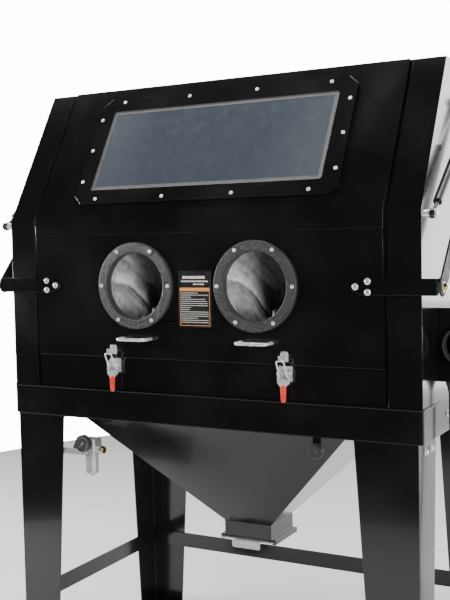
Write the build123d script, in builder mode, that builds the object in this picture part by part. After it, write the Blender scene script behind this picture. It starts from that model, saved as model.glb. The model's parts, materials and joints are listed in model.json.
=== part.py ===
import os
from math import atan2, cos, degrees, hypot, radians, sin, tan

from build123d import *

os.makedirs("parts", exist_ok=True)

# Free-standing sandblast cabinet. X to the right, Y from the front to the back, Z up, millimetres.
# The origin is on the floor, midway between the four anchor holes in the feet.

# ---------------------------------------------------------------- driving dimensions
body_width = 1220
body_depth = 700
tray_top = 880  # height of the tray's rim, on which the body stands
bend_height = 1350  # height where the upright front meets the slope
slope_angle = 60  # slope of the window wall, in degrees above level
slope_length = 440
sheet = 2  # sheet thickness of the body
flange_width = 84  # side panels wrap this far onto the front and the slope
groove_width = 8  # dark groove between a side panel's flange and the front sheets
groove_depth = 8
front_proud = 4  # door and hood stand this far in front of the side flanges
frame_edge = 26  # how far the inner frame shows inside the front opening
fit_gap = 0.5  # gap all round the closed door

door_bottom = 971
door_head = 22  # door's top edge above the port rings
header_height = 22  # inner frame behind the door's top edge
sill_height = 20
door_edge_slant = 45  # top edge of the door leans back, so that it clears the hood as it lifts

tray_height = 83
tray_wall = 3
tray_overhang = 6
tray_rim = 3
tray_corner = 12
flow_knob_inset = 97  # flow knob's centre inside the right front leg
flow_knob_drop = 35  # and below the tray
flow_knob_radius = 20
tab_width = 22
tab_root = 30  # length of the knob's tab inside the tray wall
tab_below = 14  # tab below the flow knob's centre
flow_spindle = 4
flow_knob_length = 16
flow_knob_round = 3

leg_inset = 12  # outer face of a leg inside the tray's outer face
leg_thickness = 3
leg_front_top = 162
leg_front_bottom = 112
leg_side_top = 140
leg_side_bottom = 96
foot_thickness = 5
foot_length = 112
foot_depth = 96
anchor_hole_radius = 6.5
brace_height = 210
brace_width = 50
brace_thickness = 4

hopper_half_width = 405
hopper_edge = 40  # hopper's mouth inside the body, front and back
outlet_height = 470
outlet_half = 75
outlet_collar = 45
gate_thickness = 4
gate_tab_width = 90
gate_tab_height = 24
gate_tab_corner = 6
gate_tab_thickness = 4
rail_thickness = 3
collar_thickness = 3

window_side = 348  # half the clear width of the window
window_low = 87  # clear opening, measured up the slope from the bend
window_high = 353
window_border = 47
window_bottom_border = 44
window_frame_height = 10
window_pane = 6
window_screw_radius = 2
window_head_radius = 5
window_head_height = 2.6
window_head_round = 1.5
window_screw_x = (-321, -105, 105, 321)  # screws along the lower and upper edges
window_side_screw = 115  # lowest screw of each side, up the slope
window_corner = 26
window_corner_radius = 8
pane_overlap = 10  # pane beyond the clear opening
gasket_overlap = 20
gasket_back = 3  # gasket stands back from the clear opening

port_gap = 126  # between the two port rings
port_height = 1168
port_opening = 178
ring_border = 28  # ring around its opening
ring_height = 10
spigot_wall = 5
spigot_depth = 12
port_screw_border = 17  # screws outside the opening
port_screw_count = 6
port_screw_radius = 2.5
port_head_radius = 5
port_head_height = 3
port_head_round = 2
ring_round = 3.5
glove_wall = 3

handle_height = 1025
handle_length = 96
handle_rod = 9
handle_reach = 38
handle_bend = 12

plate_width = 100
plate_length = 148
plate_centre_x = 3
plate_centre_z = 1134
plate_thickness = 1
plate_corner = 3

bracket_stand = 37  # bracket's flange outside the side wall
bracket_length = 214
bracket_height = 40
bracket_thickness = 4
bracket_bolt_radius = 4
bracket_head_radius = 8
bracket_head_height = 4
bracket_head_round = 2.5
bracket_tip = 10  # half height of the tip's chamfered end
bracket_taper = 30  # length of the tip, to the full height
bracket_bolt_near = 16  # bolts from the bracket's tip
bracket_bolt_far = 47
bracket_bolt_spread = 13

arm_pivot_depth = 430  # pivot on the side wall, behind the front face
arm_pivot_height = 1640
door_pivot_depth = 15
door_pivot_height = 1168
arm_width = 46
arm_thickness = 5
arm_stand = 42  # arm's inner face outside the side wall
door_pivot_radius = 6
arm_pivot_radius = 8
running_gap = 0.06  # radial clearance of every pin in its hole
face_gap = 0.5  # clearance between faces that slide past each other

strut_stand = 25  # strut's middle outside the side wall
strut_foot_depth = 10
strut_foot_height = 1338
strut_head_depth = 392
strut_head_height = 1628
strut_tube_radius = 11
strut_tube_wall = 2.5
strut_tube_start = 45
strut_tube_length = 235
strut_rod_radius = 5
strut_eye_radius = 12
strut_eye_width = 12
strut_pin_radius = 5.75

latch_x = 258
latch_pin_height = 950
latch_width = 37
latch_base_height = 38
latch_pin_radius = 2.5
latch_wire_radius = 2
latch_wire_half = 10.5
latch_bar_height = 984
latch_bar_out = 33
latch_grip_length = 44
latch_grip_width = 17

box_front = 127  # suction box on the right wall, behind the front face
box_depth = 230
box_low = 930
box_high = 1111
box_reach = 132
collar_radius = 46
collar_wall = 4
collar_length = 25
collar_offset_x = 63
collar_height = 1021

lead_diameter = 7
gland_depth = 145
gland_offset_x = 24

# ---------------------------------------------------------------- derived places
front = -body_depth / 2
back = body_depth / 2
half = body_width / 2
arm_inner_x = half + arm_stand
strut_x = half + strut_stand
bracket_end_x = half + bracket_stand
bracket_tip_x = bracket_end_x - bracket_length
bracket_bolt_near_x = bracket_tip_x + bracket_bolt_near
bracket_bolt_far_x = bracket_tip_x + bracket_bolt_far
ring_diameter = port_opening + 2 * ring_border
port_screw_circle = port_opening + 2 * port_screw_border
port_spacing = ring_diameter + port_gap
door_top = port_height + ring_diameter / 2 + door_head
flange_inner = half - flange_width
sheet_half = flange_inner - groove_width  # half width of the door and of the hood sheets
tray_low = tray_top - tray_height
leg_outer = half + 2 - leg_inset
flow_knob_x = leg_outer - leg_front_top - flow_knob_inset
flow_knob_height = tray_low - flow_knob_drop
slope_run = slope_length * cos(radians(slope_angle))
body_top = bend_height + slope_length * sin(radians(slope_angle))
miter = tan(radians((90 - slope_angle) / 2))
door_face = front - front_proud
groove_floor = front + groove_depth
sides = (("left", -1), ("right", 1))

# window wall: local x to the right, local y up the slope, normal outwards
slope = Plane(
    origin=(0, front, bend_height),
    x_dir=(1, 0, 0),
    z_dir=(0, -sin(radians(slope_angle)), cos(radians(slope_angle))),
)


def front_plane(depth):
    """Upright plane at this Y, facing the front."""
    return Plane.XZ.offset(-depth)


def side_plane(x):
    """Upright plane at this X, with Y across and Z up."""
    return Plane.YZ.offset(x)


def front_line(proud, start, end):
    """Front face and slope, moved out by proud, from height start to end up the slope."""
    lean = radians(slope_angle)
    return [
        (front - proud, start),
        (front - proud, bend_height + proud * miter),
        (front + end * cos(lean) - proud * sin(lean), bend_height + end * sin(lean) + proud * cos(lean)),
    ]


def strip(outer, inner, start, end):
    """Closed outline between two lines parallel to the front and the slope."""
    return front_line(outer, start, end) + front_line(inner, start, end)[::-1]


def keep(piece, name):
    """Label one finished piece and write its file."""
    piece.part.label = name
    export_step(piece.part, f"parts/{name}.step")


# ---------------------------------------------------------------- body shell
for side, sign in sides:
    with BuildPart() as side_panel:
        with BuildSketch(side_plane(sign * half)):
            Polygon(
                *front_line(0, tray_top, slope_length),
                (back, body_top),
                (back, tray_top),
                align=None,
            )
        extrude(amount=-sign * sheet)
        with BuildSketch(side_plane(sign * half)):
            Polygon(*strip(0, -sheet, tray_top, slope_length), align=None)
        extrude(amount=-sign * flange_width)
        with BuildSketch(side_plane(sign * flange_inner)):
            Polygon(*strip(0, -groove_depth, tray_top, slope_length), align=None)
        extrude(amount=sign * sheet)
        # holes for the arm's pivot bolt and the strut's stud
        with Locations(
            Plane(
                origin=(sign * half, front + arm_pivot_depth, arm_pivot_height),
                z_dir=(sign, 0, 0),
            )
        ):
            Hole(arm_pivot_radius, depth=sheet)
        with Locations(
            Plane(
                origin=(sign * half, front + strut_foot_depth, strut_foot_height),
                z_dir=(sign, 0, 0),
            )
        ):
            Hole(strut_pin_radius, depth=sheet)
    keep(side_panel, f"side_panel_{side}")

with BuildPart() as back_panel:
    with BuildSketch(front_plane(back)):
        with Locations((0, (tray_top + body_top) / 2)):
            Rectangle(body_width - 2 * sheet, body_top - tray_top)
    extrude(amount=sheet)
keep(back_panel, "back_panel")

top_start = front + slope_run + 2 * sheet
with BuildPart() as top_panel:
    with BuildSketch(Plane.XY.offset(body_top - sheet)):
        with Locations((0, (top_start + back - sheet) / 2)):
            Rectangle(body_width - 2 * sheet, back - sheet - top_start)
    extrude(amount=sheet)
keep(top_panel, "top_panel")

# inner frame behind the front: two side strips, a sill and a header
frame_half = flange_inner + sheet
opening_half = sheet_half - frame_edge + groove_width
sill_top = door_bottom + sill_height
header_low = door_top - header_height
with BuildPart() as front_frame:
    for side, sign in sides:
        with BuildSketch(side_plane(sign * opening_half)):
            Polygon(*strip(-groove_depth, -groove_depth - sheet, tray_top, slope_length), align=None)
        extrude(amount=sign * (frame_half - opening_half))
    with BuildSketch(front_plane(groove_floor + sheet)):
        with Locations((0, (tray_top + sill_top) / 2)):
            Rectangle(2 * opening_half, sill_top - tray_top)
        with Locations((0, (header_low + bend_height - groove_depth * miter) / 2)):
            Rectangle(2 * opening_half, bend_height - groove_depth * miter - header_low)
    extrude(amount=sheet)
keep(front_frame, "front_frame")

# hood: the strip above the door and the whole window wall, folded from one sheet
window_middle = (window_low + window_high) / 2
window_clear = window_high - window_low
frame_low = window_low - window_bottom_border
frame_high = window_high + window_bottom_border
frame_side = window_side + window_border
side_screw_x = frame_side - 13
bottom_screw_s = frame_low + 14
top_screw_s = 2 * window_middle - bottom_screw_s
side_screw_s = (window_side_screw, window_middle, 2 * window_middle - window_side_screw)
window_screw_places = (
    [(x, s) for x in window_screw_x for s in (bottom_screw_s, top_screw_s)]
    + [(x, s) for x in (-side_screw_x, side_screw_x) for s in side_screw_s]
)
with BuildPart() as hood_front:
    with BuildSketch(side_plane(-sheet_half)):
        Polygon(*strip(front_proud, front_proud - sheet, door_top, slope_length), align=None)
    extrude(amount=2 * sheet_half)
    for side, sign in sides:
        with BuildSketch(side_plane(sign * sheet_half)):
            Polygon(*strip(front_proud, -groove_depth, door_top, slope_length), align=None)
        extrude(amount=-sign * sheet)
    with BuildSketch(Plane.XY.offset(door_top)):
        with Locations((0, (door_face + groove_floor) / 2)):
            Rectangle(2 * sheet_half, groove_floor - door_face)
    extrude(amount=sheet)
    with BuildSketch(slope.offset(front_proud)):
        with Locations((0, window_middle)):
            RectangleRounded(2 * window_side, window_clear, window_corner_radius)
        with Locations(*window_screw_places):
            Circle(window_screw_radius)
    extrude(amount=-sheet, mode=Mode.SUBTRACT)
keep(hood_front, "hood_front")

with BuildPart() as lower_front_strip:
    with BuildSketch(front_plane(groove_floor)):
        with Locations((0, (tray_top + door_bottom - fit_gap) / 2)):
            Rectangle(2 * sheet_half, door_bottom - fit_gap - tray_top)
    extrude(amount=groove_depth - 3)
keep(lower_front_strip, "lower_front_strip")

# ---------------------------------------------------------------- window
pane_side = window_side + pane_overlap
pane_height = window_clear + 2 * pane_overlap
seat_side = window_side + gasket_overlap
seat_height = window_clear + 2 * gasket_overlap
frame_seat = front_proud + window_frame_height - sheet
glass_low = front_proud + (window_frame_height - sheet - window_pane) / 2
with BuildPart() as window_frame:
    with BuildSketch(slope.offset(frame_seat)) as frame_face:
        with Locations((0, window_middle)):
            Rectangle(2 * frame_side, frame_high - frame_low)
            chamfer(frame_face.vertices(), window_corner)
            RectangleRounded(
                2 * window_side,
                window_clear,
                window_corner_radius,
                mode=Mode.SUBTRACT,
            )
        with Locations(*window_screw_places):
            Circle(window_screw_radius, mode=Mode.SUBTRACT)
    extrude(amount=sheet)
    with BuildSketch(slope.offset(front_proud)) as frame_skirt:
        with Locations((0, window_middle)):
            Rectangle(2 * frame_side, frame_high - frame_low)
            chamfer(frame_skirt.vertices(), window_corner)
        offset(amount=-sheet, mode=Mode.SUBTRACT)
    extrude(amount=window_frame_height - sheet)
keep(window_frame, "window_frame")

with BuildPart() as window_gasket:
    with BuildSketch(slope.offset(front_proud)):
        with Locations((0, window_middle)):
            Rectangle(2 * seat_side, seat_height)
            Rectangle(
                2 * (window_side + gasket_back),
                window_clear + 2 * gasket_back,
                mode=Mode.SUBTRACT,
            )
    extrude(amount=window_frame_height - sheet)
    with BuildSketch(slope.offset(glass_low)):
        with Locations((0, window_middle)):
            Rectangle(2 * pane_side, pane_height)
    extrude(amount=window_pane, mode=Mode.SUBTRACT)
keep(window_gasket, "window_gasket")

with BuildPart() as window_glass:
    with BuildSketch(slope.offset(glass_low)):
        with Locations((0, window_middle)):
            Rectangle(2 * pane_side, pane_height)
    extrude(amount=window_pane)
keep(window_glass, "window_glass")

with BuildPart() as window_screws:
    with BuildSketch(slope.offset(front_proud + window_frame_height)):
        with Locations(*window_screw_places):
            Circle(window_head_radius)
    extrude(amount=window_head_height)
    head_rims = window_screws.edges().group_by(Axis((0, front, bend_height), slope.z_dir))[-1]
    fillet(head_rims, window_head_round)
    with BuildSketch(slope.offset(front_proud + window_frame_height)):
        with Locations(*window_screw_places):
            Circle(window_screw_radius)
    extrude(amount=-window_frame_height - 2 * sheet)
keep(window_screws, "window_screws")

# ---------------------------------------------------------------- tray, legs and braces
tray_half = half + 2
tray_half_depth = body_depth / 2 + tray_overhang
tab_front = tray_wall - tray_half_depth
with BuildPart() as tray_skirt:
    with BuildSketch(Plane.XY.offset(tray_low)):
        RectangleRounded(2 * tray_half, 2 * tray_half_depth, tray_corner)
        RectangleRounded(
            2 * (tray_half - tray_wall),
            2 * (tray_half_depth - tray_wall),
            tray_corner - tray_wall,
            mode=Mode.SUBTRACT,
        )
    extrude(amount=tray_height)
    with BuildSketch(Plane.XY.offset(tray_top - tray_rim)):
        RectangleRounded(2 * (tray_half + tray_rim), 2 * (tray_half_depth + tray_rim), tray_corner)
        Rectangle(2 * (half - 20), 2 * (body_depth / 2 - 20), mode=Mode.SUBTRACT)
    extrude(amount=tray_rim)
    # tab that hangs below the front wall and carries the flow knob
    with BuildSketch(front_plane(tab_front)):
        with Locations((flow_knob_x, (flow_knob_height - tab_below + tray_low + tab_root) / 2)):
            Rectangle(tab_width, tray_low + tab_root - flow_knob_height + tab_below)
    extrude(amount=-tray_wall)
    with BuildSketch(front_plane(tab_front)):
        with Locations((flow_knob_x, flow_knob_height)):
            Circle(flow_spindle + running_gap)
    extrude(amount=-tray_wall, mode=Mode.SUBTRACT)
keep(tray_skirt, "tray_skirt")

leg_face = body_depth / 2 + tray_overhang - tray_wall
leg_top = tray_low - sheet
leg_cap = 60
foot_x = leg_outer - foot_length / 2
foot_y = leg_face - foot_depth / 2
for row, row_sign in (("front", -1), ("back", 1)):
    for side, sign in sides:
        with BuildPart() as leg:
            with BuildSketch(front_plane(row_sign * leg_face)):
                Polygon(
                    (sign * leg_outer, foot_thickness),
                    (sign * (leg_outer - leg_front_bottom), foot_thickness),
                    (sign * (leg_outer - leg_front_top), leg_top),
                    (sign * leg_outer, leg_top),
                    align=None,
                )
            extrude(amount=row_sign * leg_thickness)
            with BuildSketch(side_plane(sign * leg_outer)):
                Polygon(
                    (row_sign * leg_face, foot_thickness),
                    (row_sign * (leg_face - leg_side_bottom), foot_thickness),
                    (row_sign * (leg_face - leg_side_top), leg_top),
                    (row_sign * leg_face, leg_top),
                    align=None,
                )
            extrude(amount=-sign * leg_thickness)
            with BuildSketch(Plane.XY):
                with Locations((sign * foot_x, row_sign * foot_y)):
                    Rectangle(foot_length, foot_depth)
                    Circle(anchor_hole_radius, mode=Mode.SUBTRACT)
            extrude(amount=foot_thickness)
            # cap that bolts up to the tray floor
            with BuildSketch(Plane.XY.offset(leg_top)):
                cap_x = leg_outer - leg_front_top / 2
                with Locations((sign * cap_x, row_sign * (leg_face - leg_cap / 2))):
                    Rectangle(leg_front_top, leg_cap)
            extrude(amount=-leg_thickness)
        keep(leg, f"leg_{row}_{side}")

# flat braces on the inner faces of the legs: one each side and one across the back
brace_half_x = leg_outer - leg_thickness
brace_half_y = leg_face - leg_thickness
with BuildPart() as leg_braces:
    with BuildSketch(Plane.XY.offset(brace_height)):
        for side, sign in sides:
            with Locations((sign * (brace_half_x - brace_thickness / 2), 0)):
                Rectangle(brace_thickness, 2 * brace_half_y - 20)
        with Locations((0, brace_half_y - brace_thickness / 2)):
            Rectangle(2 * brace_half_x - 20, brace_thickness)
    extrude(amount=brace_width)
keep(leg_braces, "leg_braces")

# ---------------------------------------------------------------- hopper, outlet and gate
mouth_half = body_depth / 2 - hopper_edge


def plate(corners, lift):
    """Thin sloping plate between four corners, made thick downwards and outwards by lift."""
    raised = [(x, y, z - lift) for x, y, z in corners]
    bottom = Wire.make_polygon([Vector(*p) for p in corners], close=True)
    top = Wire.make_polygon([Vector(*p) for p in raised], close=True)
    return Solid.make_loft([bottom, top], ruled=True)


def ring_of(half_x, half_y, z):
    """Corners of a level rectangle about the origin, from the front left, anticlockwise."""
    return [(-half_x, -half_y, z), (half_x, -half_y, z), (half_x, half_y, z), (-half_x, half_y, z)]


mouth = ring_of(hopper_half_width, mouth_half, tray_low)
throat = ring_of(outlet_half, outlet_half, outlet_height)
with BuildPart() as hopper:
    for i in range(4):
        j = (i + 1) % 4
        add(plate([mouth[i], mouth[j], throat[j], throat[i]], 2 * sheet))
    with BuildSketch(Plane.XY.offset(tray_low)) as hopper_floor:
        Rectangle(2 * (tray_half - 1), 2 * (tray_half_depth - 1))
        chamfer(hopper_floor.vertices(), tray_corner)
        Rectangle(2 * hopper_half_width, 2 * mouth_half, mode=Mode.SUBTRACT)
        with Locations((flow_knob_x, tab_front + tray_wall / 2)):
            Rectangle(tab_width + 1, tray_wall + 1, mode=Mode.SUBTRACT)
    extrude(amount=-sheet)
keep(hopper, "hopper")

# square outlet collar under the hopper, with rails that hold the sliding gate
collar_low = outlet_height - 2 * sheet - outlet_collar
rail_outer = outlet_half + 14
rail_shelf = collar_low - gate_thickness - 4  # top of the rail's lip, under the gate
with BuildPart() as hopper_outlet:
    with BuildSketch(Plane.XY.offset(collar_low)):
        Rectangle(2 * outlet_half, 2 * outlet_half)
        Rectangle(
            2 * (outlet_half - collar_thickness),
            2 * (outlet_half - collar_thickness),
            mode=Mode.SUBTRACT,
        )
    extrude(amount=outlet_collar)
    for side, sign in sides:
        with BuildSketch(front_plane(outlet_half)):
            Polygon(
                (sign * outlet_half, collar_low + rail_thickness),
                (sign * outlet_half, collar_low),
                (sign * (rail_outer - rail_thickness), collar_low),
                (sign * (rail_outer - rail_thickness), rail_shelf),
                (sign * (outlet_half + 2), rail_shelf),
                (sign * (outlet_half + 2), rail_shelf - rail_thickness),
                (sign * rail_outer, rail_shelf - rail_thickness),
                (sign * rail_outer, collar_low + rail_thickness),
                align=None,
            )
        extrude(amount=2 * outlet_half)
keep(hopper_outlet, "hopper_outlet")

gate_half = rail_outer - rail_thickness - 1
with BuildPart() as dump_gate:
    with BuildSketch(Plane.XY.offset(collar_low - gate_thickness - 2)):
        with Locations((0, -5)):
            Rectangle(2 * gate_half, 2 * outlet_half + 10)
    extrude(amount=gate_thickness)
    with BuildSketch(front_plane(-outlet_half - 10)):
        with Locations((0, collar_low - gate_thickness - gate_tab_height / 2)):
            RectangleRounded(gate_tab_width, gate_tab_height, gate_tab_corner)
    extrude(amount=gate_tab_thickness)
keep(dump_gate, "dump_gate")

# work grate: bars on a rectangular frame, resting on the tray's rim
grate_half_x = half - 24
grate_half_y = body_depth / 2 - 24
grate_bars = 24
grate_height = 6
grate_bar_width = 10
grate_border = 12
with BuildPart() as work_grate:
    with BuildSketch(Plane.XY.offset(tray_top)):
        Rectangle(2 * grate_half_x, 2 * grate_half_y)
        with GridLocations(2 * grate_half_x / grate_bars, 0, grate_bars, 1):
            Rectangle(
                2 * grate_half_x / grate_bars - grate_bar_width,
                2 * (grate_half_y - grate_border),
                mode=Mode.SUBTRACT,
            )
    extrude(amount=grate_height)
keep(work_grate, "work_grate")

# ---------------------------------------------------------------- door
door_back = groove_floor - fit_gap
door_half = sheet_half - fit_gap
door_low = door_bottom
door_high = door_top - fit_gap
slant_drop = (door_back - door_face) * tan(radians(door_edge_slant))
port_places = [(-port_spacing / 2, port_height), (port_spacing / 2, port_height)]
ring_hole = port_opening / 2 + spigot_wall + 1
bracket_bolt_places = [
    (sign * x, door_pivot_height + z)
    for sign in (-1, 1)
    for x, z in (
        (bracket_bolt_near_x, 0),
        (bracket_bolt_far_x, bracket_bolt_spread),
        (bracket_bolt_far_x, -bracket_bolt_spread),
    )
]
with BuildPart() as door_panel:
    with BuildSketch(front_plane(door_face + sheet)):
        with Locations((0, (door_low + door_high) / 2)):
            Rectangle(2 * door_half, door_high - door_low)
    extrude(amount=sheet)
    with BuildSketch(side_plane(-door_half)):
        Polygon(
            (door_face, door_high),
            (door_back, door_high - slant_drop),
            (door_back, door_high - slant_drop - sheet),
            (door_face, door_high - sheet),
            align=None,
        )
        Polygon(
            (door_face, door_low),
            (door_back, door_low),
            (door_back, door_low + sheet),
            (door_face, door_low + sheet),
            align=None,
        )
    extrude(amount=2 * door_half)
    for side, sign in sides:
        with BuildSketch(side_plane(sign * door_half)):
            Polygon(
                (door_face, door_low),
                (door_back, door_low),
                (door_back, door_high - slant_drop),
                (door_face, door_high),
                align=None,
            )
        extrude(amount=-sign * sheet)
    with BuildSketch(front_plane(door_face)):
        with Locations(*port_places):
            Circle(ring_hole)
            with PolarLocations(port_screw_circle / 2, port_screw_count):
                Circle(port_screw_radius)
        with Locations(*bracket_bolt_places):
            Circle(bracket_bolt_radius)
    extrude(amount=-sheet, mode=Mode.SUBTRACT)
keep(door_panel, "door_panel")

seal_width = 14
seal_inset = sheet + 2
seal_half = door_half - seal_inset
seal_low = door_low + seal_inset
seal_high = door_high - slant_drop - seal_inset
with BuildPart() as door_seal:
    with BuildSketch(front_plane(door_back)):
        with Locations((0, (seal_low + seal_high) / 2)):
            Rectangle(2 * seal_half, seal_high - seal_low)
            Rectangle(
                2 * (seal_half - seal_width),
                seal_high - seal_low - 2 * seal_width,
                mode=Mode.SUBTRACT,
            )
    extrude(amount=door_back - door_face - sheet)
keep(door_seal, "door_seal")

for (port_x, port_z), (side, sign) in zip(port_places, sides):
    with BuildPart() as port_ring:
        with BuildSketch(front_plane(door_face)):
            with Locations((port_x, port_z)):
                Circle(ring_diameter / 2)
                Circle(port_opening / 2, mode=Mode.SUBTRACT)
        extrude(amount=ring_height)
        fillet(port_ring.edges().group_by(Axis.Y)[0], ring_round)
        with BuildSketch(front_plane(door_face)):
            with Locations((port_x, port_z)):
                Circle(port_opening / 2 + spigot_wall)
                Circle(port_opening / 2, mode=Mode.SUBTRACT)
        extrude(amount=-spigot_depth)
        with BuildSketch(front_plane(door_face)):
            with Locations((port_x, port_z)):
                with PolarLocations(port_screw_circle / 2, port_screw_count):
                    Circle(port_screw_radius)
        extrude(amount=ring_height, mode=Mode.SUBTRACT)
    keep(port_ring, f"port_ring_{side}")

with BuildPart() as port_screws:
    with BuildSketch(front_plane(door_face - ring_height)):
        with Locations(*port_places):
            with PolarLocations(port_screw_circle / 2, port_screw_count):
                Circle(port_head_radius)
    extrude(amount=port_head_height)
    fillet(port_screws.edges().group_by(Axis.Y)[0], port_head_round)
    with BuildSketch(front_plane(door_face - ring_height)):
        with Locations(*port_places):
            with PolarLocations(port_screw_circle / 2, port_screw_count):
                Circle(port_screw_radius)
    extrude(amount=-ring_height - 3 * sheet)
keep(port_screws, "port_screws")

# gloves: sleeves that hang down inside, close behind the door, so that they follow it through
# the opening; side outline as depth behind the front and height from the port's centre
glove_mouth = spigot_depth - front_proud
glove_mouth_radius = port_opening / 2 + spigot_wall
glove_radius = glove_mouth_radius + glove_wall
glove_outline = [
    (glove_mouth, glove_radius),
    (40, 76),
    (72, 32),
    (104, -26),
    (126, -90),
    (138, -160),
    (140, -222),
    (130, -250),
    (86, -246),
    (68, -228),
    (50, -184),
    (38, -152),
    (22, -112),
    (glove_mouth, -glove_radius),
]
glove_hand_radius = 46
glove_hand_drop = 205
glove_depth = 140 - glove_mouth


def glove_block(port_x, port_z, shrink):
    """Sleeve and hand as one block, made smaller all round by shrink."""
    with BuildPart() as block:
        with BuildSketch(side_plane(port_x - glove_radius)):
            Polygon(*[(front + y, port_z + z) for y, z in glove_outline], align=None)
            offset(amount=-shrink)
        extrude(amount=2 * glove_radius)
        with BuildSketch(front_plane(front)):
            with Locations((port_x, port_z)):
                Circle(glove_radius - shrink)
            with Locations((port_x, port_z - glove_hand_drop)):
                Circle(glove_hand_radius - shrink)
            make_hull()
        extrude(amount=-2 * glove_depth, mode=Mode.INTERSECT)
    return block.part


for (port_x, port_z), (side, sign) in zip(port_places, sides):
    hollow = glove_block(port_x, port_z, glove_wall)
    with BuildPart() as glove:
        add(glove_block(port_x, port_z, 0))
        add(hollow, mode=Mode.SUBTRACT)
        with BuildSketch(front_plane(front + glove_mouth)):
            with Locations((port_x, port_z)):
                Circle(glove_mouth_radius)
        extrude(amount=-glove_wall - 1, mode=Mode.SUBTRACT)
    keep(glove, f"glove_{side}")

with BuildPart() as door_handles:
    for port_x, port_z in port_places:
        handle_x = handle_length / 2 - handle_rod / 2
        with BuildLine():
            FilletPolyline(
                (port_x - handle_x, door_face, handle_height),
                (port_x - handle_x, door_face - handle_reach, handle_height),
                (port_x + handle_x, door_face - handle_reach, handle_height),
                (port_x + handle_x, door_face, handle_height),
                radius=handle_bend,
            )
        with BuildSketch(front_plane(door_face)):
            with Locations((port_x - handle_x, handle_height)):
                Circle(handle_rod / 2)
        sweep()
keep(door_handles, "door_handles")

with BuildPart() as info_plate:
    with BuildSketch(front_plane(door_face)):
        with Locations((plate_centre_x, plate_centre_z)):
            RectangleRounded(plate_width, plate_length, plate_corner)
    extrude(amount=plate_thickness)
keep(info_plate, "info_plate")

# ---------------------------------------------------------------- door hangers, arms and pivots
bracket_face = door_face - bracket_thickness
bracket_flange = 41
door_pivot_y = front + door_pivot_depth
arm_pivot_y = front + arm_pivot_depth
arm_outer_x = arm_inner_x + arm_thickness
for side, sign in sides:
    with BuildPart() as hanger_bracket:
        with BuildSketch(front_plane(door_face)):
            Polygon(
                (sign * (bracket_tip_x + 6), door_pivot_height + bracket_tip),
                (sign * bracket_tip_x, door_pivot_height + bracket_tip / 2),
                (sign * bracket_tip_x, door_pivot_height - bracket_tip / 2),
                (sign * (bracket_tip_x + 6), door_pivot_height - bracket_tip),
                (sign * (bracket_tip_x + bracket_taper), door_pivot_height - bracket_height / 2),
                (sign * bracket_end_x, door_pivot_height - bracket_height / 2),
                (sign * bracket_end_x, door_pivot_height + bracket_height / 2),
                (sign * (bracket_tip_x + bracket_taper), door_pivot_height + bracket_height / 2),
                align=None,
            )
            with Locations(*bracket_bolt_places):
                Circle(bracket_bolt_radius, mode=Mode.SUBTRACT)
        extrude(amount=bracket_thickness)
        with BuildSketch(side_plane(sign * bracket_end_x)):
            with Locations((bracket_face + bracket_flange / 2, door_pivot_height)):
                Rectangle(bracket_flange, bracket_height)
            with Locations((door_pivot_y, door_pivot_height)):
                Circle(door_pivot_radius, mode=Mode.SUBTRACT)
        extrude(amount=-sign * bracket_thickness)
    keep(hanger_bracket, f"hanger_bracket_{side}")

nut_width = 19
head_thickness = 5
nut_thickness = 9
bolt_stand = 12  # bolt's end beyond the arm
bolt_tail = 6  # small bolts' ends behind the door sheet
spacer_radius = 9
with BuildPart() as bracket_bolts:
    with BuildSketch(front_plane(bracket_face)):
        with Locations(*bracket_bolt_places):
            Circle(bracket_head_radius)
    extrude(amount=bracket_head_height)
    fillet(bracket_bolts.edges().group_by(Axis.Y)[0], bracket_head_round)
    with BuildSketch(front_plane(bracket_face)):
        with Locations(*bracket_bolt_places):
            Circle(bracket_bolt_radius)
    extrude(amount=-bracket_thickness - sheet - bolt_tail)
    for side, sign in sides:
        with BuildSketch(side_plane(sign * (bracket_end_x - bracket_thickness - head_thickness))):
            with Locations((door_pivot_y, door_pivot_height)):
                RegularPolygon(nut_width / 2, 6, major_radius=False)
        extrude(amount=sign * head_thickness)
        with BuildSketch(side_plane(sign * (bracket_end_x - bracket_thickness))):
            with Locations((door_pivot_y, door_pivot_height)):
                Circle(door_pivot_radius)
        extrude(amount=sign * (arm_outer_x + bolt_stand - bracket_end_x + bracket_thickness))
        with BuildSketch(side_plane(sign * bracket_end_x)):
            with Locations((door_pivot_y, door_pivot_height)):
                Circle(spacer_radius)
        extrude(amount=sign * (arm_inner_x - face_gap - bracket_end_x))
        with BuildSketch(side_plane(sign * (arm_outer_x + face_gap))):
            with Locations((door_pivot_y, door_pivot_height)):
                RegularPolygon(nut_width / 2, 6, major_radius=False)
        extrude(amount=sign * nut_thickness)
keep(bracket_bolts, "bracket_bolts")

arm_rise = arm_pivot_height - door_pivot_height
arm_run = arm_pivot_depth - door_pivot_depth
arm_reach = hypot(arm_run, arm_rise)
for side, sign in sides:
    with BuildPart() as swing_arm:
        with BuildSketch(side_plane(sign * arm_inner_x)):
            with Locations(
                Location(
                    (
                        (door_pivot_y + arm_pivot_y) / 2,
                        (door_pivot_height + arm_pivot_height) / 2,
                    ),
                    degrees(atan2(arm_rise, arm_run)),
                )
            ):
                SlotCenterToCenter(arm_reach, arm_width)
            with Locations((door_pivot_y, door_pivot_height)):
                Circle(door_pivot_radius + running_gap, mode=Mode.SUBTRACT)
            with Locations((arm_pivot_y, arm_pivot_height)):
                Circle(arm_pivot_radius + running_gap, mode=Mode.SUBTRACT)
        extrude(amount=sign * arm_thickness)
    keep(swing_arm, f"swing_arm_{side}")

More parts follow.
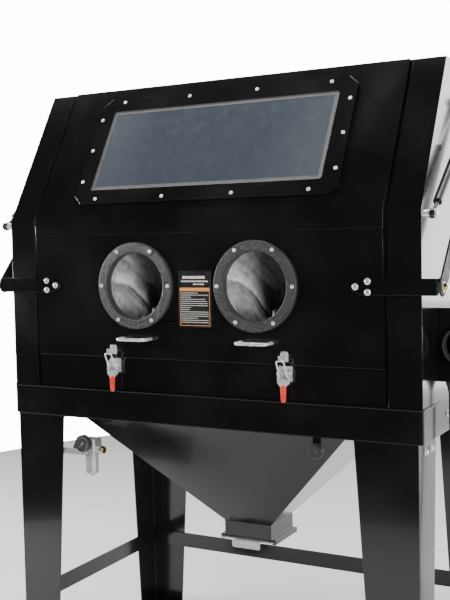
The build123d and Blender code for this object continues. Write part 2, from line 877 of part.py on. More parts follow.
strut_foot_y = front + strut_foot_depth
strut_head_y = front + strut_head_depth
strut_run = strut_head_depth - strut_foot_depth
strut_rise = strut_head_height - strut_foot_height
strut_reach = hypot(strut_run, strut_rise)
strut_way = (0, strut_run / strut_reach, strut_rise / strut_reach)
eye_inner_x = strut_x - strut_eye_width / 2
eye_outer_x = strut_x + strut_eye_width / 2
arm_collar_radius = 16
arm_nut_width = 24
arm_nut_thickness = 10
arm_bolt_stand = 14
stud_head = 5  # strut stud beyond the eye
with BuildPart() as side_pivot_bolts:
    for side, sign in sides:
        with BuildSketch(side_plane(sign * (half - sheet))):
            with Locations((arm_pivot_y, arm_pivot_height)):
                Circle(arm_pivot_radius)
        extrude(amount=sign * (arm_outer_x + arm_bolt_stand - half + sheet))
        with BuildSketch(side_plane(sign * half)):
            with Locations((arm_pivot_y, arm_pivot_height)):
                Circle(arm_collar_radius)
        extrude(amount=sign * (arm_inner_x - face_gap - half))
        with BuildSketch(side_plane(sign * (arm_outer_x + face_gap))):
            with Locations((arm_pivot_y, arm_pivot_height)):
                RegularPolygon(arm_nut_width / 2, 6, major_radius=False)
        extrude(amount=sign * arm_nut_thickness)
        with BuildSketch(side_plane(sign * (half - sheet))):
            with Locations((strut_foot_y, strut_foot_height)):
                Circle(strut_pin_radius)
        extrude(amount=sign * (eye_outer_x + stud_head - half + sheet))
        with BuildSketch(side_plane(sign * half)):
            with Locations((strut_foot_y, strut_foot_height)):
                Circle(spacer_radius)
        extrude(amount=sign * (eye_inner_x - face_gap - half))
keep(side_pivot_bolts, "side_pivot_bolts")


def strut_plane(sign, along):
    """Plane across a strut, at this distance from its foot."""
    return Plane(
        origin=(
            sign * strut_x,
            strut_foot_y + strut_way[1] * along,
            strut_foot_height + strut_way[2] * along,
        ),
        x_dir=(1, 0, 0),
        z_dir=strut_way,
    )


tube_end = strut_tube_start + strut_tube_length
tube_floor = 10
tube_neck = 15  # closed end round the rod
with BuildPart() as strut_tubes:
    for side, sign in sides:
        with BuildSketch(strut_plane(sign, strut_tube_start)):
            Circle(strut_tube_radius)
        extrude(amount=strut_tube_length)
        with BuildSketch(strut_plane(sign, strut_tube_start + tube_floor)):
            Circle(strut_tube_radius - strut_tube_wall)
        extrude(amount=strut_tube_length - tube_floor - tube_neck, mode=Mode.SUBTRACT)
        with BuildSketch(strut_plane(sign, tube_end - tube_neck)):
            Circle(strut_rod_radius + running_gap)
        extrude(amount=tube_neck, mode=Mode.SUBTRACT)
        with BuildSketch(strut_plane(sign, strut_eye_radius - 3)):
            Circle(strut_rod_radius)
        extrude(amount=strut_tube_start - strut_eye_radius + 3)
        with BuildSketch(side_plane(sign * eye_inner_x)):
            with Locations((strut_foot_y, strut_foot_height)):
                Circle(strut_eye_radius)
        extrude(amount=sign * strut_eye_width)
        with BuildSketch(side_plane(sign * eye_inner_x)):
            with Locations((strut_foot_y, strut_foot_height)):
                Circle(strut_pin_radius + running_gap)
        extrude(amount=sign * strut_eye_width, mode=Mode.SUBTRACT)
keep(strut_tubes, "strut_tubes")

# the rod's head stays open where it meets the arm: it stops short of the arm's inner face
piston_place = strut_tube_start + 60
piston_length = 12
with BuildPart() as strut_rods:
    for side, sign in sides:
        with BuildSketch(strut_plane(sign, piston_place)):
            Circle(strut_rod_radius)
        extrude(amount=strut_reach - piston_place - strut_eye_radius + 3)
        with BuildSketch(strut_plane(sign, piston_place)):
            Circle(strut_tube_radius - strut_tube_wall - face_gap)
        extrude(amount=piston_length)
        with BuildSketch(side_plane(sign * eye_inner_x)):
            with Locations((strut_head_y, strut_head_height)):
                Circle(strut_eye_radius)
        extrude(amount=sign * strut_eye_width)
        with BuildSketch(side_plane(sign * eye_outer_x)):
            with Locations((strut_head_y, strut_head_height)):
                Circle(strut_pin_radius)
        extrude(amount=sign * (arm_inner_x - face_gap - eye_outer_x))
keep(strut_rods, "strut_rods")

# ---------------------------------------------------------------- toggle latches
strip_face = groove_floor - (groove_depth - 3)
latch_pin_y = strip_face - 11
latch_loop_y = latch_pin_y - 4
latch_loop_height = latch_pin_height - 9
latch_bar_y = front - latch_bar_out
cheek = 2
cheek_outer = latch_width / 2
base_low = door_low - 3 - latch_base_height
web_top = latch_pin_height - 16
grip_top = tray_top + latch_grip_length - 3
lever_outer = cheek_outer - cheek - 0.5
for side, sign in sides:
    x = sign * latch_x
    with BuildPart() as latch_base:
        with BuildSketch(front_plane(strip_face)):
            with Locations((x, base_low + latch_base_height / 2)):
                RectangleRounded(latch_width, latch_base_height, 2)
        extrude(amount=cheek)
        for end in (-1, 1):
            with BuildSketch(side_plane(x + end * cheek_outer)):
                Polygon(
                    (strip_face, base_low + 4),
                    (latch_pin_y - 5, latch_pin_height - 5),
                    (latch_pin_y - 5, latch_pin_height + 5),
                    (strip_face, base_low + latch_base_height - 3),
                    align=None,
                )
            extrude(amount=-end * cheek)
        with BuildSketch(side_plane(x - cheek_outer - 1)):
            with Locations((latch_pin_y, latch_pin_height)):
                Circle(latch_pin_radius)
        extrude(amount=2 * cheek_outer + 2)
    keep(latch_base, f"latch_base_{side}")

    with BuildPart() as latch_lever:
        for end in (-1, 1):
            with BuildSketch(side_plane(x + end * lever_outer)):
                Polygon(
                    (latch_pin_y - 4, latch_pin_height + 5),
                    (latch_pin_y + 4, latch_pin_height + 5),
                    (latch_pin_y + 4, latch_pin_height - 6),
                    (latch_loop_y + 4, web_top),
                    (latch_loop_y + 2, web_top - 8),
                    (latch_loop_y - 4, web_top - 8),
                    (latch_loop_y - 4, latch_loop_height),
                    align=None,
                )
                with Locations((latch_pin_y, latch_pin_height)):
                    Circle(latch_pin_radius + running_gap, mode=Mode.SUBTRACT)
                with Locations((latch_loop_y, latch_loop_height)):
                    Circle(latch_wire_radius + running_gap, mode=Mode.SUBTRACT)
            extrude(amount=-end * cheek)
        with BuildSketch(front_plane(latch_loop_y - 2)):
            Polygon(
                (x - lever_outer, web_top - 8),
                (x - lever_outer, web_top),
                (x + lever_outer, web_top),
                (x + lever_outer, web_top - 8),
                (x + 6, grip_top - 4),
                (x + 6, grip_top - latch_grip_length + 8),
                (x - 6, grip_top - latch_grip_length + 8),
                (x - 6, grip_top - 4),
                align=None,
            )
        extrude(amount=2)
    keep(latch_lever, f"latch_lever_{side}")

    with BuildPart() as latch_grip:
        with BuildSketch(front_plane(latch_loop_y + 0.5)):
            with Locations((x, grip_top - latch_grip_length / 2)):
                SlotOverall(latch_grip_length, latch_grip_width, rotation=90)
        extrude(amount=7)
        fillet(latch_grip.edges(), 2)
        with BuildSketch(front_plane(latch_loop_y - 2)):
            with Locations((x, grip_top - latch_grip_length / 2 + 4)):
                Rectangle(12, latch_grip_length - 8)
        extrude(amount=2, mode=Mode.SUBTRACT)
    keep(latch_grip, f"latch_grip_{side}")

    with BuildPart() as latch_loop:
        wire_end = lever_outer + 1
        with BuildLine():
            FilletPolyline(
                (x - wire_end, latch_loop_y, latch_loop_height),
                (x - latch_wire_half, latch_loop_y, latch_loop_height),
                (x - latch_wire_half, latch_bar_y, latch_bar_height),
                (x + latch_wire_half, latch_bar_y, latch_bar_height),
                (x + latch_wire_half, latch_loop_y, latch_loop_height),
                (x + wire_end, latch_loop_y, latch_loop_height),
                radius=[1.2, 6, 6, 1.2],
            )
        with BuildSketch(side_plane(x - wire_end)):
            with Locations((latch_loop_y, latch_loop_height)):
                Circle(latch_wire_radius)
        sweep()
    keep(latch_loop, f"latch_loop_{side}")

# catches on the door: a hook open at the top, behind the loop's bar
hook_low = latch_bar_height + 2
hook_reach = latch_bar_out - front_proud - 5
with BuildPart() as latch_catches:
    for side, sign in sides:
        with BuildSketch(side_plane(sign * latch_x - 7)):
            Polygon(
                (door_face, hook_low - 6),
                (door_face - 2, hook_low - 6),
                (door_face - 2, hook_low),
                (door_face - hook_reach, hook_low),
                (door_face - hook_reach, hook_low + 11),
                (door_face - hook_reach + 2, hook_low + 11),
                (door_face - hook_reach + 2, hook_low + 2),
                (door_face - 2, hook_low + 2),
                (door_face - 2, hook_low + 14),
                (door_face, hook_low + 14),
                align=None,
            )
        extrude(amount=14)
keep(latch_catches, "latch_catches")

# ---------------------------------------------------------------- suction box and mains lead
box_front_y = front + box_front
box_middle = box_front_y + box_depth / 2
with BuildPart() as suction_box:
    with BuildSketch(Plane.XY.offset(box_low)):
        with Locations((half + box_reach / 2, box_middle)):
            Rectangle(box_reach, box_depth)
    extrude(amount=box_high - box_low)
    fillet(suction_box.edges().filter_by(Axis.Z).group_by(Axis.X)[-1], 6)
    with BuildSketch(Plane.XY.offset(box_low + sheet)):
        with Locations((half + box_reach / 2, box_middle)):
            Rectangle(box_reach - 2 * sheet, box_depth - 2 * sheet)
    extrude(amount=box_high - box_low - 2 * sheet, mode=Mode.SUBTRACT)
    with BuildSketch(front_plane(box_front_y)):
        with Locations((half + collar_offset_x, collar_height)):
            Circle(collar_radius - collar_wall)
    extrude(amount=-sheet, mode=Mode.SUBTRACT)
keep(suction_box, "suction_box")

with BuildPart() as suction_collar:
    with BuildSketch(front_plane(box_front_y)):
        with Locations((half + collar_offset_x, collar_height)):
            Circle(collar_radius)
            Circle(collar_radius - collar_wall, mode=Mode.SUBTRACT)
    extrude(amount=collar_length)
keep(suction_collar, "suction_collar")

gland_x = half + gland_offset_x
gland_y = front + gland_depth
gland_length = 26
gland_width = 18
gland_head = 10  # height of the gland's hexagon
gland_neck = 8
with BuildPart() as lead_gland:
    with BuildSketch(Plane.XY.offset(box_low)):
        with Locations((gland_x, gland_y)):
            RegularPolygon(gland_width / 2, 6, major_radius=False)
    extrude(amount=-gland_head)
    with BuildSketch(Plane.XY.offset(box_low - gland_head)):
        with Locations((gland_x, gland_y)):
            Circle(gland_neck)
    extrude(amount=-gland_length + gland_head, taper=12)
keep(lead_gland, "lead_gland")

lead_radius = lead_diameter / 2
lead_start = box_low - gland_length
coil_x = gland_x + 34
coil_y = gland_y + 65
coil_middle_radius = 38
coil_width = 14
coil_height = 21
# the lead hangs from its gland, turns on the floor and runs into the coil
lead_points = [
    (gland_x, gland_y, lead_start),
    (gland_x, gland_y, 818),
    (gland_x + 3, gland_y + 2, 728),
    (gland_x + 8, gland_y + 2, 634),
    (gland_x + 11, gland_y - 2, 541),
    (gland_x + 11, gland_y - 8, 450),
    (gland_x + 7, gland_y - 14, 362),
    (gland_x + 1, gland_y - 20, 283),
    (gland_x - 4, gland_y - 26, 216),
    (gland_x - 8, gland_y - 31, 160),
    (gland_x - 8, gland_y - 31, 110),
    (gland_x - 5.9, gland_y - 28.9, 72),
    (gland_x + 1.9, gland_y - 21.1, 38),
    (gland_x + 17.5, gland_y - 5.5, 13),
    (gland_x + 38.7, gland_y + 15.7, lead_radius),
    (gland_x + 61.3, gland_y + 38.3, lead_radius),
]


def arc_radii(points):
    """Radius at each corner: 0.45 of the shorter run over the tangent of half the turn."""
    radii = []
    for before, at, after in zip(points, points[1:], points[2:]):
        run_in = Vector(*at) - Vector(*before)
        run_out = Vector(*after) - Vector(*at)
        turn = radians(run_in.get_angle(run_out))
        radii.append(0.45 * min(run_in.length, run_out.length) / tan(turn / 2))
    return radii


lead_radii = arc_radii(lead_points)
print("lead arc radii", [round(r) for r in lead_radii])
with BuildPart() as mains_lead:
    with BuildLine() as lead_path:
        FilletPolyline(*lead_points, radius=lead_radii)
    with BuildSketch(Plane(origin=lead_points[0], z_dir=(0, 0, -1))):
        Circle(lead_radius)
    sweep()
print("lead length", lead_path.wire().length, "volume", mains_lead.part.volume)
keep(mains_lead, "mains_lead")

with BuildPart() as lead_coil:
    with BuildSketch(Plane.XY):
        with Locations((coil_x, coil_y)):
            Circle(coil_middle_radius + coil_width / 2)
            Circle(coil_middle_radius - coil_width / 2, mode=Mode.SUBTRACT)
    extrude(amount=coil_height)
keep(lead_coil, "lead_coil")

plug_length = 44
plug_width = 26
plug_height = 22
plug_corner = 5
relief_radius = 6
relief_length = 24
pin_spread = 6.5  # each pin from the plug's middle
pin_length = 17
plug_front = coil_x - coil_middle_radius - coil_width / 2 - 1 - plug_length
plug_y = coil_y + coil_middle_radius
with BuildPart() as mains_plug:
    with BuildSketch(side_plane(plug_front)):
        with Locations((plug_y, plug_height / 2)):
            RectangleRounded(plug_width, plug_height, plug_corner)
    extrude(amount=plug_length)
    with BuildSketch(side_plane(plug_front + plug_length)):
        with Locations((plug_y, plug_height / 2)):
            Circle(relief_radius)
    extrude(amount=relief_length, taper=5)
    with BuildSketch(side_plane(plug_front)):
        with Locations(*[(plug_y + end * pin_spread, plug_height / 2) for end in (-1, 1)]):
            Rectangle(1.6, 6.3)
    extrude(amount=-pin_length)
keep(mains_plug, "mains_plug")

# ---------------------------------------------------------------- air regulator under the tray
regulator_width = 44
regulator_x = 236 - leg_outer
regulator_high = tray_low - 65
regulator_low = regulator_high - regulator_width
regulator_front = front + leg_thickness + 1
strap_end = 100 - leg_outer
gauge_height = regulator_high - 7
gauge_radius = 24
knob_height = regulator_low + 14
inlet_radius = 5.9
inlet_length = 14
inlet_width = 20
bowl_radius = 18
bowl_depth = 58
bowl_round = 8
strap_height = 16
strap_thickness = 4
spindle_radius = 4
spindle_seat = 12
gauge_neck = 10
gauge_stem = 6
gauge_case = 16
gauge_rim = 3
dial_depth = 2
knob_radius = 17
knob_length = 34
knob_round = 3
with BuildPart() as air_regulator:
    with BuildSketch(Plane.XY.offset(regulator_low)):
        with Locations((regulator_x, regulator_front + regulator_width / 2)):
            RectangleRounded(regulator_width, regulator_width, 8)
    extrude(amount=regulator_high - regulator_low)
    # bowl below
    with BuildSketch(Plane.XY.offset(regulator_low)):
        with Locations((regulator_x, regulator_front + regulator_width / 2)):
            Circle(bowl_radius)
    extrude(amount=-bowl_depth)
    fillet(air_regulator.edges().group_by(Axis.Z)[0], bowl_round)
    # strap to the back of the front leg
    with BuildSketch(front_plane(regulator_front)):
        with Locations(((strap_end + regulator_x) / 2, regulator_low + strap_height / 2)):
            Rectangle(regulator_x - strap_end, strap_height)
    extrude(amount=strap_thickness)
    # inlet boss with its threaded port on the right
    with BuildSketch(side_plane(regulator_x + regulator_width / 2)):
        with Locations((regulator_front + regulator_width / 2, knob_height)):
            RegularPolygon(inlet_width / 2, 6, major_radius=False)
    extrude(amount=inlet_length)
    with BuildSketch(side_plane(regulator_x + regulator_width / 2 + inlet_length)):
        with Locations((regulator_front + regulator_width / 2, knob_height)):
            Circle(inlet_radius)
    extrude(amount=-inlet_length, mode=Mode.SUBTRACT)
    # seat of the knob's spindle on the left
    with BuildSketch(side_plane(regulator_x - regulator_width / 2)):
        with Locations((regulator_front + regulator_width / 2, knob_height)):
            Circle(spindle_radius + running_gap)
    extrude(amount=spindle_seat, mode=Mode.SUBTRACT)
keep(air_regulator, "air_regulator")

with BuildPart() as regulator_gauge:
    with BuildSketch(front_plane(regulator_front)):
        with Locations((regulator_x, gauge_height)):
            Circle(gauge_stem)
    extrude(amount=gauge_neck)
    with BuildSketch(front_plane(regulator_front - gauge_neck)):
        with Locations((regulator_x, gauge_height)):
            Circle(gauge_radius)
    extrude(amount=gauge_case)
    with BuildSketch(front_plane(regulator_front - gauge_neck - gauge_case + dial_depth)):
        with Locations((regulator_x, gauge_height)):
            Circle(gauge_radius - gauge_rim)
    extrude(amount=dial_depth, mode=Mode.SUBTRACT)
keep(regulator_gauge, "regulator_gauge")

with BuildPart() as regulator_knob:
    with BuildSketch(side_plane(regulator_x - regulator_width / 2 + spindle_seat - 2)):
        with Locations((regulator_front + regulator_width / 2, knob_height)):
            Circle(spindle_radius)
    extrude(amount=-spindle_seat - 2)
    with BuildSketch(side_plane(regulator_x - regulator_width / 2 - face_gap)):
        with Locations((regulator_front + regulator_width / 2, knob_height)):
            Circle(knob_radius)
    extrude(amount=-knob_length)
    fillet(regulator_knob.edges().group_by(Axis.X)[0], knob_round)
keep(regulator_knob, "regulator_knob")

# ---------------------------------------------------------------- lamp, flow knob and blast gun
lamp_half = 260
lamp_y = -10
lamp_depth = 90
lamp_height = 34
lamp_wall = 3
lens_thickness = 4
with BuildPart() as light_housing:
    with BuildSketch(Plane.XY.offset(body_top - sheet - lamp_height)):
        with Locations((0, lamp_y)):
            Rectangle(2 * lamp_half, lamp_depth)
            Rectangle(2 * (lamp_half - lamp_wall), lamp_depth - 2 * lamp_wall, mode=Mode.SUBTRACT)
    extrude(amount=lamp_height)
keep(light_housing, "light_housing")

with BuildPart() as light_lens:
    with BuildSketch(Plane.XY.offset(body_top - sheet - lamp_height)):
        with Locations((0, lamp_y)):
            Rectangle(2 * (lamp_half - lamp_wall), lamp_depth - 2 * lamp_wall)
    extrude(amount=lens_thickness)
keep(light_lens, "light_lens")

with BuildPart() as flow_knob:
    with BuildSketch(front_plane(tab_front + tray_wall + 6)):
        with Locations((flow_knob_x, flow_knob_height)):
            Circle(flow_spindle)
    extrude(amount=tray_wall + 9)
    with BuildSketch(front_plane(tab_front - face_gap)):
        with Locations((flow_knob_x, flow_knob_height)):
            Circle(flow_knob_radius)
    extrude(amount=flow_knob_length)
    fillet(flow_knob.edges().group_by(Axis.Y)[0], flow_knob_round)
keep(flow_knob, "flow_knob")

gun_x = 210
gun_y = 130
gun_radius = 17
gun_length = 95
nozzle_radius = 11
nozzle_length = 60
nozzle_bore = 4
bore_depth = 40
grip_place = 62  # grip's root along the body
grip_radius = 14
grip_length = 105
gun_axis_z = tray_top + grate_height + gun_radius
with BuildPart() as blast_gun:
    with BuildSketch(side_plane(gun_x)):
        with Locations((gun_y, gun_axis_z)):
            Circle(gun_radius)
    extrude(amount=gun_length)
    with BuildSketch(side_plane(gun_x)):
        with Locations((gun_y, gun_axis_z)):
            Circle(nozzle_radius)
    extrude(amount=-nozzle_length)
    with BuildSketch(side_plane(gun_x - nozzle_length)):
        with Locations((gun_y, gun_axis_z)):
            Circle(nozzle_bore)
    extrude(amount=bore_depth, mode=Mode.SUBTRACT)
    with BuildSketch(Plane(origin=(gun_x + grip_place, gun_y, gun_axis_z), z_dir=(0.26, -0.965, 0))):
        Circle(grip_radius)
    extrude(amount=grip_length)
keep(blast_gun, "blast_gun")
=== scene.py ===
import json
import math
import random

import bmesh
import bpy
from mathutils import Matrix, Vector, noise

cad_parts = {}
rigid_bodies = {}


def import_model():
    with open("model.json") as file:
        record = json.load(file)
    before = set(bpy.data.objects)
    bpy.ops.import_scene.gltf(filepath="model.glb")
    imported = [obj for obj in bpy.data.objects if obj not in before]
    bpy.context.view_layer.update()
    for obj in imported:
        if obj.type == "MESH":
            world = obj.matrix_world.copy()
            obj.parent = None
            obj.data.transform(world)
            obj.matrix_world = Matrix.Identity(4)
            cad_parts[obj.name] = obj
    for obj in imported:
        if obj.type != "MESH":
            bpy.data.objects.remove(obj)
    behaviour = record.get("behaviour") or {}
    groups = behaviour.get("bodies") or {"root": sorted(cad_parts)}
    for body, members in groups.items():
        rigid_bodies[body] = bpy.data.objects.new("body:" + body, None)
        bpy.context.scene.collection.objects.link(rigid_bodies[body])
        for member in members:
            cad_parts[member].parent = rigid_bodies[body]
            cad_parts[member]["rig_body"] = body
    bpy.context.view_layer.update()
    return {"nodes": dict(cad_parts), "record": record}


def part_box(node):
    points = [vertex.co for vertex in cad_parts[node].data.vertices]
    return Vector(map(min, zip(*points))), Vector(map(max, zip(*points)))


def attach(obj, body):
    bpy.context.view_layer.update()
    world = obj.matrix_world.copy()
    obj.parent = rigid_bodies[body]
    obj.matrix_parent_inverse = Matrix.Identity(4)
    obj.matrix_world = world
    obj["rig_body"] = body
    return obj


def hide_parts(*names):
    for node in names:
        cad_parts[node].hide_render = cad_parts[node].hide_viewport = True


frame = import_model()
nodes = frame["nodes"]


class Wire:
    def __init__(self, tree, socket):
        self.tree = tree
        self.socket = socket

    def maths(self, operation, *others, first=None):
        node = self.tree.nodes.new("ShaderNodeMath")
        node.operation = operation
        values = [self, *others] if first is None else [first, self]
        for socket, value in zip(node.inputs, values):
            plug(self.tree, value, socket)
        return Wire(self.tree, node.outputs[0])

    def __add__(self, other):
        return self.maths("ADD", other)

    __radd__ = __add__

    def __rsub__(self, other):
        return self.maths("SUBTRACT", first=other)

    def __mul__(self, other):
        return self.maths("MULTIPLY", other)

    def __gt__(self, other):
        return self.maths("GREATER_THAN", other)

    def __lt__(self, other):
        return self.maths("LESS_THAN", other)


def plug(tree, value, socket):
    if isinstance(value, Wire):
        tree.links.new(value.socket, socket)
    else:
        socket.default_value = value


def addNode(tree, kind, settings=None, inputs=None):
    node = tree.nodes.new(kind)
    for name, value in (settings or {}).items():
        setattr(node, name, value)
    for name, value in (inputs or {}).items():
        plug(tree, value, node.inputs[name])
    return node


def wireFrom(tree, kind, output, settings=None, inputs=None):
    return Wire(tree, addNode(tree, kind, settings, inputs).outputs[output])


class Finish:
    def __init__(self, name, **constants):
        self.material = bpy.data.materials.new(name)
        self.material.use_nodes = True
        self.tree = self.material.node_tree
        self.surface = self.tree.nodes["Principled BSDF"]
        for socket, value in constants.items():
            self.feed(socket.replace("_", " "), value)
        self.place = wireFrom(self.tree, "ShaderNodeTexCoord", "Object")

    def feed(self, socket, value):
        plug(self.tree, value, self.surface.inputs[socket])

    def node(self, kind, output, settings=None, inputs=None):
        return wireFrom(self.tree, kind, output, settings, inputs)

    def grain(self, scale, detail=3.0, rough=0.5, stretch=None):
        where = self.place
        if stretch:
            where = self.node("ShaderNodeMapping", "Vector", None, {"Vector": where, "Scale": stretch})
        return self.node("ShaderNodeTexNoise", "Fac", None,
                         {"Vector": where, "Scale": scale, "Detail": detail, "Roughness": rough})

    def cells(self, scale, output="Distance", feature="F1"):
        return self.node("ShaderNodeTexVoronoi", output, {"feature": feature},
                         {"Vector": self.place, "Scale": scale})

    def colour(self, factor, low, high):
        blend = addNode(self.tree, "ShaderNodeMix", {"data_type": "RGBA"})
        # 6 and 7 are the mix node's colour sockets
        for socket, value in ((0, factor), (6, (*low, 1)), (7, (*high, 1))):
            plug(self.tree, value, blend.inputs[socket])
        self.feed("Base Color", Wire(self.tree, blend.outputs[2]))

    def rough(self, value, low, high, start, end):
        self.feed("Roughness", self.spread(value, low, high, start, end))

    def spread(self, value, low, high, start=0.0, end=1.0):
        return self.node("ShaderNodeMapRange", "Result", {"clamp": True},
                         {"Value": value, "From Min": low, "From Max": high, "To Min": start, "To Max": end})

    def relief(self, height):
        self.feed("Normal", self.node("ShaderNodeBump", "Normal", None,
                                      {"Height": height, "Distance": 1.0, "Strength": 1.0}))


def newPiece(name, mesh):
    piece = bpy.data.objects.new(name, mesh)
    bpy.context.scene.collection.objects.link(piece)
    return piece


def bake(piece):
    # modifiers become plain mesh
    bpy.context.view_layer.update()
    graph = bpy.context.evaluated_depsgraph_get()
    mesh = bpy.data.meshes.new_from_object(piece.evaluated_get(graph))
    piece.modifiers.clear()
    piece.data = mesh
    return piece


def smooth(mesh, angle=35):
    mesh.shade_smooth()
    mesh.set_sharp_from_angle(angle=math.radians(angle))


def recoat(mesh, finish):
    mesh.materials.clear()
    mesh.materials.append(finish)


def dust(mesh, values):
    # talc and painted light on each point, read by the glove finish
    mesh.attributes.new("talcAndPaintedLight", "FLOAT", "POINT").data.foreach_set("value", values)


def hold(piece, body, slotName, *replaced):
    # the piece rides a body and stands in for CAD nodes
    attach(piece, body)
    if replaced:
        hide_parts(*replaced)
    return piece


def bands(rings, steps, faces):
    # joins each ring of corners to the next with four-sided faces
    for low, high in zip(rings, rings[1:]):
        for i in range(steps):
            j = (i + 1) % steps
            loop = [low[i % len(low)], low[j % len(low)], high[j % len(high)], high[i % len(high)]]
            corners = list(dict.fromkeys(loop))
            if len(corners) > 2:
                faces.append(corners)
    return faces


def rectangle(a0, b0, a1, b1):
    return [(a0, b0), (a1, b0), (a1, b1), (a0, b1)]


def circle(count):
    turns = [2 * math.pi * i / count for i in range(count)]
    return [(math.cos(turn), math.sin(turn)) for turn in turns]


def frameAt(origin, along, across=None):
    # local Z runs along, local X near across
    z = Vector(along).normalized()
    x = Vector(across) if across else Vector((1, 0, 0))
    if abs(x.normalized().dot(z)) > 0.99:
        x = Vector((0, 1, 0))
    y = z.cross(x).normalized()
    x = y.cross(z)
    turned = Matrix((x, y, z)).transposed().to_4x4()
    return Matrix.Translation(origin) @ turned


class Shape:
    # several closed solids gathered into one piece
    def __init__(self):
        self.work = bmesh.new()

    def cover(self, loops, finish):
        faces = [self.work.faces.new(loop) for loop in loops]
        for face in faces:
            face.material_index = finish
        return faces

    def turned(self, profile, origin, along, steps=32, finish=0, across=None):
        # profile is (radius, height) from the axis to the axis, or a closed ring
        matrix = frameAt(origin, along, across)
        rings = []
        for radius, height in profile:
            if radius < 1e-7:
                rings.append([self.work.verts.new(matrix @ Vector((0, 0, height)))])
                continue
            rings.append([self.work.verts.new(matrix @ Vector((radius * c, radius * s, height)))
                          for c, s in circle(steps)])
        if len(rings[0]) > 1 and len(rings[-1]) > 1:
            rings.append(rings[0])  # an open ring closes on itself
        self.cover(bands(rings, steps, []), finish)

    def extruded(self, outline, plane, start, end, bevel=0.0, finish=0, segments=2):
        # outline is (x, z), (y, z) or (x, y) for plane XZ, YZ or XY
        def at(pair, depth):
            a, b = pair
            return {"XZ": (a, depth, b), "YZ": (depth, a, b), "XY": (a, b, depth)}[plane]
        low = [self.work.verts.new(at(pair, start)) for pair in outline]
        high = [self.work.verts.new(at(pair, end)) for pair in outline]
        faces = self.cover([low, high[::-1]], finish)
        for i in range(len(outline)):
            j = (i + 1) % len(outline)
            faces += self.cover([[low[j], low[i], high[i], high[j]]], finish)
        if bevel:
            edges = list({edge for face in faces for edge in face.edges})
            made = bmesh.ops.bevel(self.work, geom=edges, offset=bevel, segments=segments, profile=0.6,
                                   affect="EDGES", clamp_overlap=True)
            for face in made["faces"]:
                face.material_index = finish

    def mesh(self, name, angle=35):
        bmesh.ops.recalc_face_normals(self.work, faces=self.work.faces)
        mesh = bpy.data.meshes.new(name)
        self.work.to_mesh(mesh)
        self.work.free()
        smooth(mesh, angle)
        return mesh

    def piece(self, name, finishes, body, slotName, *replaced, angle=35):
        made = newPiece(name, self.mesh(name, angle))
        for finish in finishes:
            made.data.materials.append(finish)
        return hold(made, body, slotName, *replaced)


def slotOf(node):
    return next(part["material_slot"] for part in frame["record"]["subparts"] if part["node"] == node)


def both(name):
    return [f"{name}_left", f"{name}_right"]


def dress(node, finish):
    # a CAD node keeps its mesh and gets a finish
    slots = nodes[node].data.materials
    for i in range(max(1, len(slots))):
        if i < len(slots):
            slots[i] = finish
        else:
            slots.append(finish)


def softened(node, finish, width=0.0009, segments=3):
    # a copy of a CAD node's shell with its loose triangles merged and its edges rounded
    work = bmesh.new()
    work.from_mesh(nodes[node].data)
    bmesh.ops.remove_doubles(work, verts=work.verts, dist=1e-5)
    flat = math.radians(0.5)
    bmesh.ops.dissolve_limit(work, angle_limit=flat, verts=work.verts, edges=work.edges)
    work.verts.ensure_lookup_table()
    corners = [tuple(vertex.co) for vertex in work.verts]
    faces = [[vertex.index for vertex in face.verts] for face in work.faces]
    work.free()
    mesh = bpy.data.meshes.new(node + "_shell")
    mesh.from_pydata(corners, [], faces)
    piece = newPiece(node + "_shell", mesh)
    bevel = piece.modifiers.new("roundedEdges", "BEVEL")
    bevel.width = width
    bevel.segments = segments
    bevel.limit_method = "ANGLE"
    bevel.angle_limit = math.radians(30)
    bevel.use_clamp_overlap = False
    bevel.harden_normals = True
    mesh.shade_smooth()
    bake(piece)
    recoat(piece.data, finish)
    hold(piece, nodes[node]["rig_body"], slotOf(node), node)


enamelLook = {
    "colour": (0.0042, 0.0042, 0.0046),
    "dust": (0.035, 0.035, 0.036),
    "peelScale": 420.0,  # orange peel of the baked powder coat
    "peelDepth": 0.00003,
    "waveScale": 2.6,  # slow waves of the sheet
    "waveDepth": 0.0016,
}


def blackEnamel():
    look = enamelLook
    finish = Finish("blackEnamel", IOR=1.5, Coat_Weight=0.22, Coat_Roughness=0.05)
    clouds = finish.grain(5.0, 4.0)
    specks = (finish.cells(70.0) < 0.035) * (finish.grain(9.0) > 0.56)
    finish.colour(specks * 0.5 + finish.spread(clouds, 0.45, 0.8, 0, 0.12), look["colour"], look["dust"])
    finish.rough(clouds, 0.3, 0.75, 0.13, 0.22)
    peel = finish.grain(look["peelScale"], 2.0) * look["peelDepth"]
    wave = finish.grain(look["waveScale"], 1.0) * look["waveDepth"]
    finish.relief(peel + wave)
    return finish.material


def whiteEnamel():
    finish = Finish("whiteEnamel", IOR=1.5)
    clouds = finish.grain(14.0)
    finish.colour(clouds, (0.70, 0.70, 0.67), (0.82, 0.82, 0.79))
    finish.rough(clouds, 0.3, 0.7, 0.3, 0.42)
    finish.relief(finish.grain(500.0) * 0.00003)
    return finish.material


def windowGlass():
    # laminated pane under a peel-off film, slate grey with slow cloudy bands
    finish = Finish("windowGlass", IOR=1.5, Coat_Weight=0.3, Coat_Roughness=0.03)
    bands = finish.grain(1.7, 1.0, 0.4, (1.0, 0.5, 0.5))
    film = finish.grain(38.0, 4.0)
    finish.colour(finish.spread(bands, 0.38, 0.66), (0.050, 0.060, 0.073), (0.085, 0.098, 0.113))
    scratches = finish.grain(60.0, 6.0, 0.7, (1.0, 9.0, 9.0)) > 0.71
    finish.feed("Roughness", finish.spread(film, 0.3, 0.7, 0.12, 0.24) + scratches * 0.15)
    finish.feed("Alpha", finish.spread(film, 0.2, 0.8, 0.90, 0.96))
    finish.relief(film * 0.00008)
    return finish.material


